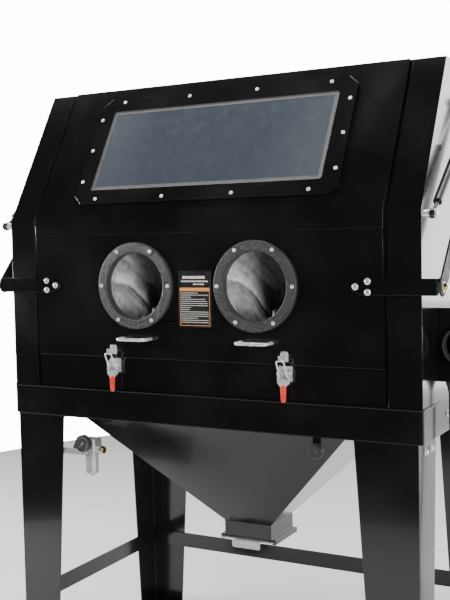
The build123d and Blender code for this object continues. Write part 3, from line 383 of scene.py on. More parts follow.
def zincSteel(name, tint, pale):
    finish = Finish(name, Metallic=0.6)
    spangle = finish.cells(170.0, "Color")
    clouds = finish.grain(45.0, 5.0)
    tone = finish.node("ShaderNodeSeparateColor", "Red", None, {"Color": spangle})
    finish.colour(tone * 0.45 + clouds * 0.5, tint, pale)
    finish.rough(clouds, 0.3, 0.7, 0.20, 0.38)
    finish.relief(finish.grain(700.0, 3.0) * 0.00004)
    return finish.material


def greyPlastic():
    # moulded with a coarse pebble grain
    finish = Finish("greyPlastic", IOR=1.48)
    pebble = finish.cells(620.0, "Distance", "SMOOTH_F1")
    clouds = finish.grain(24.0, 5.0)
    fleck = finish.grain(430.0, 3.0, 0.65)
    shade = finish.spread(fleck, 0.42, 0.66) * 0.8 + clouds * 0.2
    finish.colour(shade, (0.006, 0.006, 0.007), (0.060, 0.060, 0.064))
    finish.rough(fleck, 0.3, 0.7, 0.22, 0.40)
    finish.relief(pebble * 0.0009)
    return finish.material


def gloveRubber():
    # black rubber lightened by talc and by painted light carried in the same attribute: a painted sheen on
    # the crests of its folds, painted shade on the side away from the light
    finish = Finish("gloveRubber", IOR=1.5)
    talcAndPaintedLight = finish.node("ShaderNodeAttribute", "Fac", {"attribute_name": "talcAndPaintedLight"})
    streaks = finish.grain(90.0, 6.0, 0.62, (1.0, 1.0, 0.35))
    mottle = finish.grain(22.0, 4.0)
    dusty = finish.spread(streaks * 0.7 + mottle * 0.5, 0.36, 0.80)
    amount = finish.spread(talcAndPaintedLight * (0.45 + dusty), 0.04, 1.0)
    finish.colour(amount, (0.010, 0.010, 0.011), (0.60, 0.60, 0.58))
    finish.rough(amount, 0.0, 0.6, 0.36, 0.75)
    finish.relief(streaks * 0.0006 + finish.grain(700.0) * 0.0001)
    return finish.material


def plain(name, dark, light, rough, scale=60.0, bump=0.00005, bumpScale=600.0, **constants):
    # rough is the roughness of the darkest and of the lightest patches
    finish = Finish(name, IOR=1.5, Coat_Roughness=0.05, **constants)
    clouds = finish.grain(scale, 5.0)
    finish.colour(clouds, dark, light)
    finish.rough(clouds, 0.3, 0.7, *rough)
    finish.relief(finish.grain(bumpScale, 2.0) * bump)
    return finish.material


def rubber(name, dark, light, scale):
    return plain(name, dark, light, (0.42, 0.62), scale, 0.00006, 900.0)


def lampLens():
    finish = Finish("lampLens", IOR=1.49, Alpha=0.9)
    ribs = finish.node("ShaderNodeTexWave", "Fac", {"bands_direction": "X"},
                       {"Vector": finish.place, "Scale": 40.0, "Distortion": 0.0})
    finish.colour(ribs, (0.72, 0.72, 0.68), (0.88, 0.88, 0.84))
    finish.rough(ribs, 0.0, 1.0, 0.28, 0.4)
    finish.relief(ribs * 0.0006)
    return finish.material


enamel = blackEnamel()
white = whiteEnamel()
sealRubber = rubber("sealRubber", (0.012, 0.012, 0.012), (0.03, 0.03, 0.03), 40.0)
lipRubber = rubber("lipRubber", (0.05, 0.05, 0.05), (0.10, 0.10, 0.098), 30.0)
leadRubber = rubber("leadRubber", (0.010, 0.010, 0.010), (0.026, 0.026, 0.027), 60.0)
paneGlass = windowGlass()
zinc = zincSteel("zincSteel", (0.62, 0.68, 0.74), (0.90, 0.91, 0.90))
plated = zincSteel("platedSteel", (0.40, 0.41, 0.42), (0.62, 0.62, 0.60))
ringPlastic = greyPlastic()
gloveSkin = gloveRubber()
strutBlack = plain("strutBlack", (0.007, 0.007, 0.007), (0.016, 0.016, 0.016), (0.224, 0.35),
                   Coat_Weight=0.2)
armBlack = plain("armBlack", (0.004, 0.004, 0.004), (0.010, 0.010, 0.010), (0.48, 0.75))
chrome = plain("chromeRod", (0.72, 0.73, 0.75), (0.86, 0.86, 0.87), (0.064, 0.1), bump=0.00001, Metallic=1.0)
redVinyl = plain("redVinyl", (0.62, 0.030, 0.022), (0.80, 0.065, 0.045), (0.216, 0.3375), 30.0, 0.0001, 260.0,
                 Coat_Weight=0.35)
blackPlastic = plain("blackPlastic", (0.010, 0.010, 0.010), (0.030, 0.030, 0.030), (0.36, 0.5625),
                     bump=0.0001, bumpScale=1400.0)
castSilver = plain("castSilver", (0.46, 0.46, 0.45), (0.70, 0.70, 0.68), (0.32, 0.5), bump=0.0002,
                   bumpScale=900.0, Metallic=0.9)
brass = plain("brass", (0.52, 0.36, 0.16), (0.78, 0.60, 0.32), (0.2, 0.3125), Metallic=1.0)
plateBlack = plain("plateBlack", (0.008, 0.008, 0.009), (0.018, 0.018, 0.020), (0.24, 0.375),
                   Coat_Weight=0.3)
plateOrange = plain("plateOrange", (0.68, 0.25, 0.06), (0.80, 0.33, 0.09), (0.336, 0.525))
platePale = plain("platePale", (0.55, 0.54, 0.50), (0.72, 0.71, 0.66), (0.336, 0.525))
lens = lampLens()
print("finishes made")


view = {
    "place": (1.2944, -2.5646, 1.2886),
    "yaw": 0.498,  # turned left of +Y
    "pitch": 0.062,  # tipped down
    "roll": -0.021,
    "lens": 58.94,
}


def addCamera():
    yaw, pitch, roll = view["yaw"], view["pitch"], view["roll"]
    ahead = Vector((-math.sin(yaw) * math.cos(pitch), math.cos(yaw) * math.cos(pitch), -math.sin(pitch)))
    level = Vector((math.cos(yaw), math.sin(yaw), 0))
    above = level.cross(ahead)
    right = math.cos(roll) * level + math.sin(roll) * above
    up = math.cos(roll) * above - math.sin(roll) * level
    data = bpy.data.cameras.new("studioCamera")
    data.lens = view["lens"]
    data.sensor_width = 36
    camera = bpy.data.objects.new("studioCamera", data)
    bpy.context.scene.collection.objects.link(camera)
    turned = Matrix((right, up, -ahead)).transposed().to_4x4()
    camera.matrix_world = Matrix.Translation(view["place"]) @ turned
    bpy.context.scene.camera = camera


studio = {
    # name: (place, aimed at, width, height, watts)
    "rightSoftbox": ((2.7, -2.7, 2.5), (0.0, -0.3, 1.1), 1.4, 1.4, 75),
    "leftStrip": ((-3.3, -1.0, 1.6), (-0.2, -0.3, 1.1), 0.4, 2.4, 190),
    "rightStrip": ((3.0, -1.6, 1.3), (0.0, -0.3, 1.1), 0.14, 2.4, 60),
    "topStrip": ((-0.9, -0.15, 3.3), (0.0, -0.35, 1.1), 2.6, 0.16, 60),
    "backPanel": ((2.6, 3.6, 1.7), (0.6, 0.0, 1.2), 3.0, 3.0, 120),
    "topBank": ((0.3, 1.4, 3.6), (0.1, 0.0, 1.2), 2.6, 1.6, 90),
}


def addLights():
    for name, (place, target, width, height, power) in studio.items():
        data = bpy.data.lights.new(name, "AREA")
        data.shape = "RECTANGLE"
        data.size = width
        data.size_y = height
        data.energy = power
        light = bpy.data.objects.new(name, data)
        light.matrix_world = frameAt(place, Vector(place) - Vector(target), (0, 0, 1))
        light.visible_camera = False
        bpy.context.scene.collection.objects.link(light)


def addWorld():
    # white to look at, bright behind the object, dark in front of it
    world = bpy.data.worlds.new("studioWorld")
    bpy.context.scene.world = world
    world.use_nodes = True
    tree = world.node_tree
    paths = addNode(tree, "ShaderNodeLightPath")
    direction = addNode(tree, "ShaderNodeTexCoord").outputs["Generated"]
    parts = addNode(tree, "ShaderNodeSeparateXYZ", None, {"Vector": Wire(tree, direction)})
    back = Wire(tree, parts.outputs["Y"])
    rise = addNode(tree, "ShaderNodeMapRange", {"clamp": True},
                   {"Value": back, "From Min": -0.15, "From Max": 0.25, "To Min": 0.012, "To Max": 1.25})
    shiny = Wire(tree, rise.outputs["Result"])
    isShiny = Wire(tree, paths.outputs["Is Glossy Ray"])
    isCamera = Wire(tree, paths.outputs["Is Camera Ray"])
    soft = 0.45
    seen = 14.0
    strength = isShiny * shiny + (1 - isShiny) * (isCamera * (seen - soft) + soft)
    background = tree.nodes["Background"]
    background.inputs["Color"].default_value = (1, 1, 1, 1)
    plug(tree, strength, background.inputs["Strength"])


def addFloor():
    shape = Shape()
    shape.turned([(0, -0.02), (3.3, -0.02), (3.3, 0.0), (0, 0.0)], (0.3, 1.0, 0), (0, 0, 1), 96)
    floor = newPiece("studioFloor", shape.mesh("studioFloor"))
    finish = Finish("paleFloor", Roughness=0.85)
    clouds = finish.grain(2.0)
    finish.colour(clouds, (0.64, 0.64, 0.64), (0.68, 0.68, 0.68))
    floor.data.materials.append(finish.material)


addCamera()
addLights()
addWorld()
addFloor()
print("camera, light and floor placed")


lead = {
    "diameter": 0.007,
    "exit": (0.634, -0.205, 0.904),
    "length": 2.25,
    "hang": [  # from the gland's mouth, in millimetres: across, back, height above the floor
        (0, 0, 904), (0, 0, 818), (3, 2, 728), (8, 2, 634), (11, -2, 541), (11, -8, 450), (7, -14, 362),
        (1, -20, 283), (-4, -26, 216), (-8, -31, 160), (-8, -31, 110), (-5.9, -28.9, 72),
        (1.9, -21.1, 38), (17.5, -5.5, 13), (38.7, 15.7, 3.6),
    ],
    "coilCentre": (0.668, -0.140),
    # radius and height of each lane of the coil
    "lanes": [(0.0415, 0.0036), (0.0344, 0.0036), (0.0344, 0.0106), (0.0415, 0.0106), (0.0415, 0.0174),
              (0.0380, 0.0174)],
    "laneTurn": 345,  # degrees wound before the lead moves to the next lane
    "shiftTurn": 60,
    "wound": 1935,
    "step": 15,
    "startAngle": -45,
}


def leadRoute():
    x, y, _ = lead["exit"]
    route = [(x + across / 1000, y + back / 1000, height / 1000) for across, back, height in lead["hang"]]
    for wound in range(0, lead["wound"] + 1, lead["step"]):
        lane = min(wound // lead["laneTurn"], len(lead["lanes"]) - 1)
        share = 1.0
        if lane > 0:
            share = min(1.0, (wound - lane * lead["laneTurn"]) / lead["shiftTurn"])
        before = lead["lanes"][max(lane - 1, 0)]
        radius, height = (a + (b - a) * share for a, b in zip(before, lead["lanes"][lane]))
        turn = math.radians(lead["startAngle"] + wound)
        route.append((lead["coilCentre"][0] + radius * math.cos(turn),
                      lead["coilCentre"][1] + radius * math.sin(turn), height))
    route.append((0.655, -0.102, 0.0145))
    route.append((0.643, -0.102, 0.011))
    return route


def addLead():
    data = bpy.data.curves.new("mainsLead", "CURVE")
    data.dimensions = "3D"
    data.bevel_depth = lead["diameter"] / 2
    data.bevel_resolution = 5
    data.use_fill_caps = True
    data.resolution_u = 6
    spline = data.splines.new("NURBS")
    route = leadRoute()
    spline.points.add(len(route) - 1)
    for point, place in zip(spline.points, route):
        point.co = (*place, 1)
    spline.order_u = 3
    spline.use_endpoint_u = True
    data.materials.append(leadRubber)
    return hold(newPiece("mains_lead_curve", data), "cabinet", "lead_rubber", "mains_lead", "lead_coil")


plugLook = {"front": 0.578, "length": 0.044, "y": -0.102, "z": 0.011, "width": 0.026, "height": 0.0212}


def addPlug():
    look = plugLook
    shape = Shape()
    low, high = look["y"] - look["width"] / 2, look["y"] + look["width"] / 2
    top = look["z"] + look["height"] / 2
    bottom = look["z"] - look["height"] / 2
    end = look["front"] + look["length"]
    waist = look["front"] + 0.016
    taper = [(look["front"], 0), (waist, 0), (waist + 0.008, 0.0022), (end - 0.006, 0.0035), (end, 0.006)]
    outline = [(x, low + inset) for x, inset in taper] + [(x, high - inset) for x, inset in taper[::-1]]
    shape.extruded(outline, "XY", bottom, top, 0.003, 0, 3)
    for i in range(5):  # grip ribs
        x = waist + 0.006 + i * 0.0035
        shape.extruded(rectangle(x, top - 0.0006, x + 0.0014, top + 0.0005), "XZ", low + 0.005, high - 0.005,
                       0.0003)
    for i in range(5):  # rings of the bend relief
        x = end + i * 0.0046
        r = 0.0062 - i * 0.00042
        shape.turned([(0, 0), (r, 0), (r, 0.003), (r - 0.0008, 0.0036), (r - 0.0008, 0.0046), (0, 0.0046)],
                     (x, look["y"], look["z"]), (1, 0, 0), 20)
    for side in (-1, 1):
        y = look["y"] + side * 0.0065
        thin, tall = 0.0008, 0.00315
        shape.extruded(rectangle(y - thin, look["z"] - tall, y + thin, look["z"] + tall), "YZ",
                       look["front"] - 0.017, look["front"] + 0.002, 0.0003, 1)
    return shape.piece("mains_plug_moulded", [blackPlastic, brass], "cabinet", "black_plastic", "mains_plug")


def addGland():
    # gland nut with its ribbed dome, over the CAD gland's place
    low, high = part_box("lead_gland")
    x, y = (low.x + high.x) / 2, (low.y + high.y) / 2
    shape = Shape()
    shape.turned([(0, 0), (0.0098, 0), (0.0104, 0.0008), (0.0104, 0.0086), (0.0098, 0.0095), (0, 0.0095)],
                 (x, y, high.z - 0.0098), (0, 0, 1), 6)
    tall = high.z - 0.0098 - low.z
    for i in range(4):
        r = 0.0078 - i * 0.0009
        shape.turned([(0, 0), (r, 0), (r, tall / 4 * 0.7), (r - 0.0006, tall / 4), (0, tall / 4)],
                     (x, y, high.z - 0.0098 - i * tall / 4), (0, 0, -1), 24)
    return shape.piece("lead_gland_nut", [blackPlastic], "cabinet", "black_plastic", "lead_gland")


leadPiece = addLead()
plugPiece = addPlug()
glandPiece = addGland()
print("mains lead laid")


bodySheets = [
    *both("side_panel"), "back_panel", "top_panel", "front_frame", "hood_front", "lower_front_strip",
    "window_frame", "tray_skirt", *both("leg_front"), *both("leg_back"), "leg_braces", "hopper",
    "hopper_outlet", "suction_box", "door_panel", *both("hanger_bracket"),
]
for node in bodySheets:
    softened(node, enamel)
for node in both("latch_base") + both("latch_lever"):
    softened(node, zinc, 0.0003)
for node in both("swing_arm"):
    softened(node, armBlack)
softened("dump_gate", plated)
softened("light_housing", white)
softened("info_plate", plateBlack, 0.0003)
print("sheet metal rounded")


def groupTree(name, inputs):
    # an empty geometry node group, the wires of its inputs and their modifier keys
    tree = bpy.data.node_groups.new(name, "GeometryNodeTree")
    sockets = [tree.interface.new_socket(label, in_out="INPUT", socket_type="NodeSocket" + kind)
               for label, kind in inputs]
    tree.interface.new_socket("Result", in_out="OUTPUT", socket_type="NodeSocketGeometry")
    given = addNode(tree, "NodeGroupInput")
    return (tree, {socket.name: Wire(tree, given.outputs[socket.name]) for socket in sockets},
            {socket.name: socket.identifier for socket in sockets})


def closeGroup(tree, made, finish):
    # gives what was made its finish as plain geometry
    real = wireFrom(tree, "GeometryNodeRealizeInstances", 0, None, {"Geometry": made})
    painted = wireFrom(tree, "GeometryNodeSetMaterial", 0, None, {"Geometry": real, "Material": finish})
    plug(tree, painted, addNode(tree, "NodeGroupOutput").inputs[0])


def spreadTree():
    # puts one template at every point, along its facing, with a seeded turn about it
    tree, wires, keys = groupTree("spreadPieces", [
        ("Points", "Geometry"), ("Template", "Object"), ("Size", "Float"), ("Greatest turn", "Float"),
        ("Seed", "Int"), ("Finish", "Material")])
    facing, leading = (
        wireFrom(tree, "GeometryNodeInputNamedAttribute", 0, {"data_type": "FLOAT_VECTOR"}, {"Name": name})
        for name in ("facing", "leading"))
    template = wireFrom(tree, "GeometryNodeObjectInfo", "Geometry", None, {"Object": wires["Template"]})
    aim = wireFrom(tree, "FunctionNodeAlignRotationToVector", 0, {"axis": "Z"}, {"Vector": facing})
    turned = wireFrom(tree, "FunctionNodeAlignRotationToVector", 0, {"axis": "X", "pivot_axis": "Z"},
                      {"Rotation": aim, "Vector": leading})
    placed = wireFrom(tree, "GeometryNodeInstanceOnPoints", 0, None,
                      {"Points": wires["Points"], "Instance": template, "Rotation": turned,
                       "Scale": wires["Size"]})
    chance = addNode(tree, "FunctionNodeRandomValue", {"data_type": "FLOAT"})
    plug(tree, wires["Greatest turn"], chance.inputs[3])
    plug(tree, wires["Seed"], chance.inputs["Seed"])
    spin = wireFrom(tree, "ShaderNodeCombineXYZ", 0, None, {"Z": Wire(tree, chance.outputs[1])})
    spun = wireFrom(tree, "GeometryNodeRotateInstances", 0, None, {"Instances": placed, "Rotation": spin})
    closeGroup(tree, spun, wires["Finish"])
    return tree, keys


def bakeGroup(piece, group, keys, values):
    modifier = piece.modifiers.new("group", "NODES")
    modifier.node_group = group
    for label, value in values.items():
        modifier[keys[label]] = value
    bake(piece)


spreader, spreadInputs = spreadTree()


def spread(name, template, places, finish, body, slotName, *replaced, turn=6.28, seed=3):
    # places are (point, facing) or (point, facing, leading)
    points, facing, leading = zip(*((*place, (1, 0, 0))[:3] for place in places))
    cloud = bpy.data.meshes.new(name)
    cloud.from_pydata(points, [], [])
    for label, values in (("facing", facing), ("leading", leading)):
        attribute = cloud.attributes.new(label, "FLOAT_VECTOR", "POINT")
        attribute.data.foreach_set("vector", [c for value in values for c in value])
    piece = newPiece(name, cloud)
    holder = newPiece(name + "Template", template)
    bakeGroup(piece, spreader, spreadInputs, {"Template": holder, "Size": 1.0, "Greatest turn": float(turn),
                                              "Seed": seed, "Finish": finish})
    bpy.data.objects.remove(holder)
    smooth(piece.data)
    hold(piece, body, slotName, *replaced)


def cutRecess(mesh, name, cutter):
    # cuts a drive recess into a head with a boolean, then returns plain mesh
    head = newPiece(name, mesh)
    tool = newPiece(name + "Tool", cutter)
    modifier = head.modifiers.new("recess", "BOOLEAN")
    modifier.operation = "DIFFERENCE"
    modifier.solver = "EXACT"
    modifier.object = tool
    bake(head)
    made = head.data
    bpy.data.objects.remove(tool)
    bpy.data.objects.remove(head)
    return made


def domeHead(name, radius, height, shank, length, recess):
    # domed head with its underside on the sheet, and the shank below it
    shape = Shape()
    profile = [(0, -length), (shank, -length), (shank, 0), (radius, 0)]
    for i in range(1, 7):
        turn = math.radians(15 * i)
        profile.append((radius * math.cos(turn), height * (0.25 + 0.75 * math.sin(turn))))
    profile[-1] = (0, height)
    profile.insert(4, (radius, height * 0.25))
    shape.turned(profile, (0, 0, 0), (0, 0, 1), 28)
    tool = Shape()
    if recess == "cross":
        arm, slim = radius * 0.52, radius * 0.11
        corner, outline = [(arm, slim), (slim, slim), (slim, arm)], []
        for _ in range(4):
            outline += corner
            corner = [(-y, x) for x, y in corner]
    else:
        key = radius * 0.42
        outline = [(key * c, key * s) for c, s in circle(6)]
    tool.extruded(outline, "XY", height * 0.45, height * 2)
    return cutRecess(shape.mesh(name), name, tool.mesh(name + "Tool"))


slope = {"bend": 1.350, "front": -0.350, "lean": math.radians(60), "proud": 0.014}


def onSlope(x, up, out=0.0):
    lean = slope["lean"]
    return Vector((x, slope["front"] + up * math.cos(lean) - out * math.sin(lean),
                   slope["bend"] + up * math.sin(lean) + out * math.cos(lean)))


slopeFacing = (0, -math.sin(slope["lean"]), math.cos(slope["lean"]))
windowScrews = {"acrossX": (-0.321, -0.105, 0.105, 0.321), "low": 0.057, "high": 0.383,
                "sideX": 0.382, "sideUp": (0.115, 0.220, 0.325)}


def addWindowScrews():
    rows = windowScrews
    places = [(x, up) for x in rows["acrossX"] for up in (rows["low"], rows["high"])]
    places += [(x, up) for x in (-rows["sideX"], rows["sideX"]) for up in rows["sideUp"]]
    head = domeHead("windowScrew", 0.0052, 0.0030, 0.0019, 0.012, "cross")
    spread("window_screw_heads", head, [(onSlope(x, up, slope["proud"]), slopeFacing) for x, up in places],
           zinc, "cabinet", "zinc_steel", "window_screws", seed=5)


ports = {"x": 0.180, "z": 1.168, "face": -0.364, "screwCircle": 0.106, "screws": 6}


def addPortScrews():
    head = domeHead("portScrew", 0.0052, 0.0032, 0.0024, 0.014, "cross")
    reach = ports["screwCircle"]
    places = [((side * ports["x"] + reach * c, ports["face"], ports["z"] + reach * s), (0, -1, 0))
              for side in (-1, 1) for c, s in circle(ports["screws"])]
    spread("port_screw_heads", head, places, zinc, "front_door", "zinc_steel", "port_screws", seed=8)


hanger = {"face": -0.358, "near": 0.449, "far": 0.480, "spread": 0.013, "z": 1.168, "pivotY": -0.335,
          "flangeX": 0.647, "armOut": 0.657}


def hexNut(shape, origin, along, flats, thick, hole=0.0, finish=0):
    r = flats / math.sqrt(3)
    shape.turned([(hole, 0), (r * 0.93, 0), (r, thick * 0.12), (r, thick * 0.88), (r * 0.93, thick),
                  (hole, thick)], origin, along, 6, finish)


def addHangerBolts():
    head = domeHead("hangerBolt", 0.0082, 0.0046, 0.0039, 0.012, "hex")
    places = []
    for side in (-1, 1):
        for x, z in (("near", 0), ("far", hanger["spread"]), ("far", -hanger["spread"])):
            places.append(((side * hanger[x], hanger["face"], hanger["z"] + z), (0, -1, 0)))
    spread("hanger_bolt_heads", head, places, zinc, "front_door", "zinc_steel", "bracket_bolts", seed=2)
    shape = Shape()
    flange, arm = hanger["flangeX"], hanger["armOut"]
    spacer = [(0.0061, 0), (0.0105, 0), (0.0108, 0.0004), (0.0108, 0.0038), (0.0105, 0.0042),
              (0.0061, 0.0042)]
    washer = [(0.0061, 0), (0.0125, 0), (0.0125, 0.0012), (0.0061, 0.0012)]
    for side in (-1, 1):
        def at(x):
            return side * x, hanger["pivotY"], hanger["z"]
        out = (side, 0, 0)
        shape.turned([(0, 0), (0.0059, 0), (0.0059, 0.026), (0.0052, 0.0268), (0, 0.0268)],
                     at(flange - 0.0045), out, 24)
        hexNut(shape, at(flange - 0.0092), out, 0.0185, 0.005)
        shape.turned(spacer, at(flange + 0.0002), out, 28)
        shape.turned(washer, at(arm + 0.0003), out, 28)
        hexNut(shape, at(arm + 0.0016), out, 0.0185, 0.0075, 0.0045, 1)
    shape.piece("hanger_pivot_bolts", [zinc, brass], "front_door", "zinc_steel")


def addPanelScrews():
    # rows that hold the back and top sheets, and the bolts that hold the legs
    head = domeHead("panelScrew", 0.0048, 0.0022, 0.0016, 0.004, "cross")
    places = []
    for i in range(9):
        x = -0.56 + 1.12 * i / 8
        places += [((x, 0.350, z), (0, 1, 0)) for z in (0.905, 1.712)]
        places += [((x, y, 1.7310), (0, 0, 1)) for y in (-0.098, 0.330)]
    for i in range(1, 7):
        z = 0.905 + 0.807 * i / 7
        places += [((x, 0.350, z), (0, 1, 0)) for x in (-0.590, 0.590)]
    spread("panel_screw_heads", head, places, zinc, "cabinet", "zinc_steel", seed=4)
    bolt = Shape()
    hexNut(bolt, (0, 0, 0.0012), (0, 0, 1), 0.013, 0.0052)
    bolt.turned([(0, 0), (0.0092, 0), (0.0092, 0.0012), (0, 0.0012)], (0, 0, 0), (0, 0, 1), 24)
    places = []
    for side in (-1, 1):
        for y in (-0.300, -0.255, 0.255, 0.300):
            places.append(((side * 0.6002, y, 0.770), (side, 0, 0)))
        for y in (-0.15, 0.0, 0.15):
            places.append(((side * 0.6120, y, 0.838), (side, 0, 0)))
    spread("leg_bolt_heads", bolt.mesh("legBolt"), places, zinc, "cabinet", "zinc_steel", seed=6)


addWindowScrews()
addPortScrews()
addHangerBolts()
addPanelScrews()
print("screws and bolts spread")


glove = {
    "front": -0.350,
    # side sections from the port inwards and down, in millimetres from the front face and the
    # port's centre: (back edge y, z), (front edge y, z), half width
    "sections": [
        ((8, 94), (8, -94), 93.5),
        ((20, 89), (11, -99), 92),
        ((38, 72), (16, -104), 87),
        ((62, 38), (24, -114), 78),
        ((88, -10), (33, -132), 67),
        ((106, -56), (40, -150), 57),
        ((118, -98), (47, -166), 48),
        ((124, -132), (54, -178), 42),
    ],
    "rings": 64,
    "around": 112,
    "wall": 0.0022,
    "fold": 0.026,  # deepest fold
    "slant": 0.55,  # folds are laid out as seen from the right of the door
    "mouth": 0.090,
    "seeds": {"left": 1.3, "right": 0.7},
}


def curveThrough(values, share):
    # smooth line through evenly placed values
    place = share * (len(values) - 1)
    i = min(int(place), len(values) - 2)
    f = place - i
    a, b = values[max(i - 1, 0)], values[i]
    c, d = values[i + 1], values[min(i + 2, len(values) - 1)]
    return 0.5 * (2 * b + (c - a) * f + (2 * a - 5 * b + 4 * c - d) * f * f
                  + (3 * b - a - 3 * c + d) * f ** 3)


def foldDepth(across, up, share, seed):
    # across and up are shares of the port's half width; the main fold runs from the upper left
    # down to the lower right, a slack lobe hangs under it
    wander = noise.noise(Vector((across * 2.1, up * 2.1, seed * 7.0)))
    crest = 0.16 - 0.25 * (across + 0.7) if across < -0.30 else 0.06 - 0.95 * (across + 0.30)
    off = (up - crest + 0.10 * wander) / 1.3
    over = math.exp(-max(off, 0.0) / 0.34)
    under = math.exp(-max(-off, 0.0) / 0.10)
    ridge = over * under
    lobe = math.exp(-((off + 0.42) / 0.22) ** 2)
    pleat = math.exp(-((off - 0.62 - 0.2 * wander) / 0.10) ** 2)
    fine = 0.5 + 0.5 * math.sin(off * 24 + across * 5 + 4 * wander)
    grip = min(1.0, max(0.0, (share - 0.02) / 0.12)) * min(1.0, (1.02 - share) / 0.25)
    depth = grip * (ridge + 0.62 * lobe + 0.22 * pleat + 0.06 * fine)
    # talc with painted light: lit fades from the left of each sleeve to painted shade on its right, and the
    # crests of the ridge, lobe and pleats are lighter as a painted sheen
    lit = max(0.0, min(1.0, (0.38 - across) / 0.55))
    talcAndPaintedLight = lit * (0.16 + 0.80 * ridge ** 1.4 + 0.30 * lobe + 0.12 * pleat + 0.12 * fine)
    return depth, min(1.0, talcAndPaintedLight)


def addSleeve(side, sign):
    columns = list(zip(*((*back, *front, half) for back, front, half in glove["sections"])))
    base = Vector((sign * ports["x"], glove["front"], ports["z"]))
    rings, around = glove["rings"], glove["around"]
    corners, talcAndPaintedLight = [], []
    for i in range(rings + 1):
        share = i / rings
        backY, backZ, frontY, frontZ, half = (curveThrough(column, share) / 1000 for column in columns)
        centre = base + Vector((0, backY + frontY, backZ + frontZ)) / 2
        reach = Vector((0, backY - frontY, backZ - frontZ)) / 2
        for c, s in circle(around):
            out = Vector((half * c, 0, 0)) + reach * s
            smoothPlace = (centre + out - base) / glove["mouth"]
            across, up = smoothPlace.x + glove["slant"] * smoothPlace.y, smoothPlace.z
            depth, amount = foldDepth(across, up, share, glove["seeds"][side])
            corners.append(centre + out * (1 - glove["fold"] * depth / out.length))
            talcAndPaintedLight.append(amount)
    loops = [range(i * around, (i + 1) * around) for i in range(rings + 1)]
    mesh = bpy.data.meshes.new("gloveSleeve")
    mesh.from_pydata(corners, [], bands(loops, around, []))
    dust(mesh, talcAndPaintedLight)
    work = bmesh.new()
    work.from_mesh(mesh)
    bmesh.ops.recalc_face_normals(work, faces=work.faces)
    work.to_mesh(mesh)
    work.free()
    piece = newPiece(f"glove_sleeve_{side}", mesh)
    wall = piece.modifiers.new("wall", "SOLIDIFY")
    wall.thickness = glove["wall"]
    wall.offset = -1
    finer = piece.modifiers.new("finer", "SUBSURF")
    finer.levels = finer.render_levels = 1
    bake(piece)
    smooth(piece.data, 60)
    recoat(piece.data, gloveSkin)
    hold(piece, "front_door", "glove_rubber", f"glove_{side}")


hand = {
    # palm centre and half sizes, finger roots and tips, in millimetres as the sleeve's sections
    "palm": ((0, 92, -158), (37, 19, 40)),
    "fingers": [((-28, 96, -182), (-33, 102, -226)), ((-9.5, 97, -186), (-11, 105, -240)),
                ((9.5, 97, -186), (11, 105, -238)), ((28, 96, -182), (33, 102, -220))],
    "thumb": ((-30, 84, -150), (-34, 70, -196)),
    "fingerRadius": 9.0,
    "voxel": 0.0026,
}


def addHand(side, sign):
    shape = Shape()
    base = Vector((sign * ports["x"], glove["front"], ports["z"]))

    def at(place):
        x, y, z = place
        return base + Vector((-sign * x, y, z)) / 1000

    centre, (halfX, halfY, halfZ) = hand["palm"]
    ball = [(math.sin(math.pi * i / 16), -math.cos(math.pi * i / 16)) for i in range(1, 16)]
    shape.turned([(0, -1), *ball, (0, 1)], (0, 0, 0), (0, 0, 1), 32)
    for vertex in shape.work.verts:
        x, y, z = vertex.co
        vertex.co = at(centre) + Vector((x * halfX, y * halfY, z * halfZ)) / 1000
    radius = hand["fingerRadius"] / 1000
    for root, tip in [*hand["fingers"], hand["thumb"]]:
        a, b = at(root), at(tip)
        long = (b - a).length
        turns = [math.radians(15 * i) for i in range(1, 6)]
        rounded = [(radius * math.sin(turn), -radius * math.cos(turn)) for turn in turns]
        profile = [(0, -radius)] + rounded + [(radius, 0), (radius * 0.92, long * 0.5), (radius * 0.95, long)]
        profile += [(r * 0.95, long - h) for r, h in rounded[::-1]] + [(0, long + radius)]
        shape.turned(profile, a, b - a, 24)
    piece = newPiece(f"glove_hand_{side}", shape.mesh("gloveHand"))
    remesh = piece.modifiers.new("skin", "REMESH")
    remesh.mode = "VOXEL"
    remesh.voxel_size = hand["voxel"]
    relax = piece.modifiers.new("relax", "SMOOTH")
    relax.factor = 0.6
    relax.iterations = 5
    bake(piece)
    smooth(piece.data, 80)
    dust(piece.data, [0.22] * len(piece.data.vertices))
    recoat(piece.data, gloveSkin)
    hold(piece, "front_door", "glove_rubber")


for side, sign in (("left", -1), ("right", 1)):
    addSleeve(side, sign)
    addHand(side, sign)
print("gloves shaped")


window = {"halfX": 0.348, "low": 0.087, "high": 0.353, "lip": 0.011, "top": 0.0125, "seat": 0.0116}


def addWindowLip():
    # rubber lip that holds the pane, its slanted inner face shows inside the opening
    shape = Shape()
    rings = []
    seat, top, lip = window["seat"], window["top"], window["lip"]
    for grow, out in ((0.012, seat - 0.0005), (0.012, top - 0.0006), (-0.0005, top - 0.0006),
                      (-0.003, top - 0.001), (-lip, seat - 0.0001), (-lip, seat - 0.0005)):
        halfX = window["halfX"] + grow
        low, high = window["low"] - grow, window["high"] + grow
        ring = []
        for x, up in ((-halfX, low), (halfX, low), (halfX, high), (-halfX, high)):
            ring.append(shape.work.verts.new(onSlope(x, up, out)))
        rings.append(ring)
    rings.append(rings[0])
    shape.cover(bands(rings, 4, []), 0)
    shape.piece("window_lip", [lipRubber], "cabinet", "seal_rubber", angle=20)


addWindowLip()


plate = {"x": 0.003, "z": 1.134, "face": -0.3550, "raise": 0.00018, "rows": 15, "rowStep": 0.0055,
         "rowTall": 0.0015}


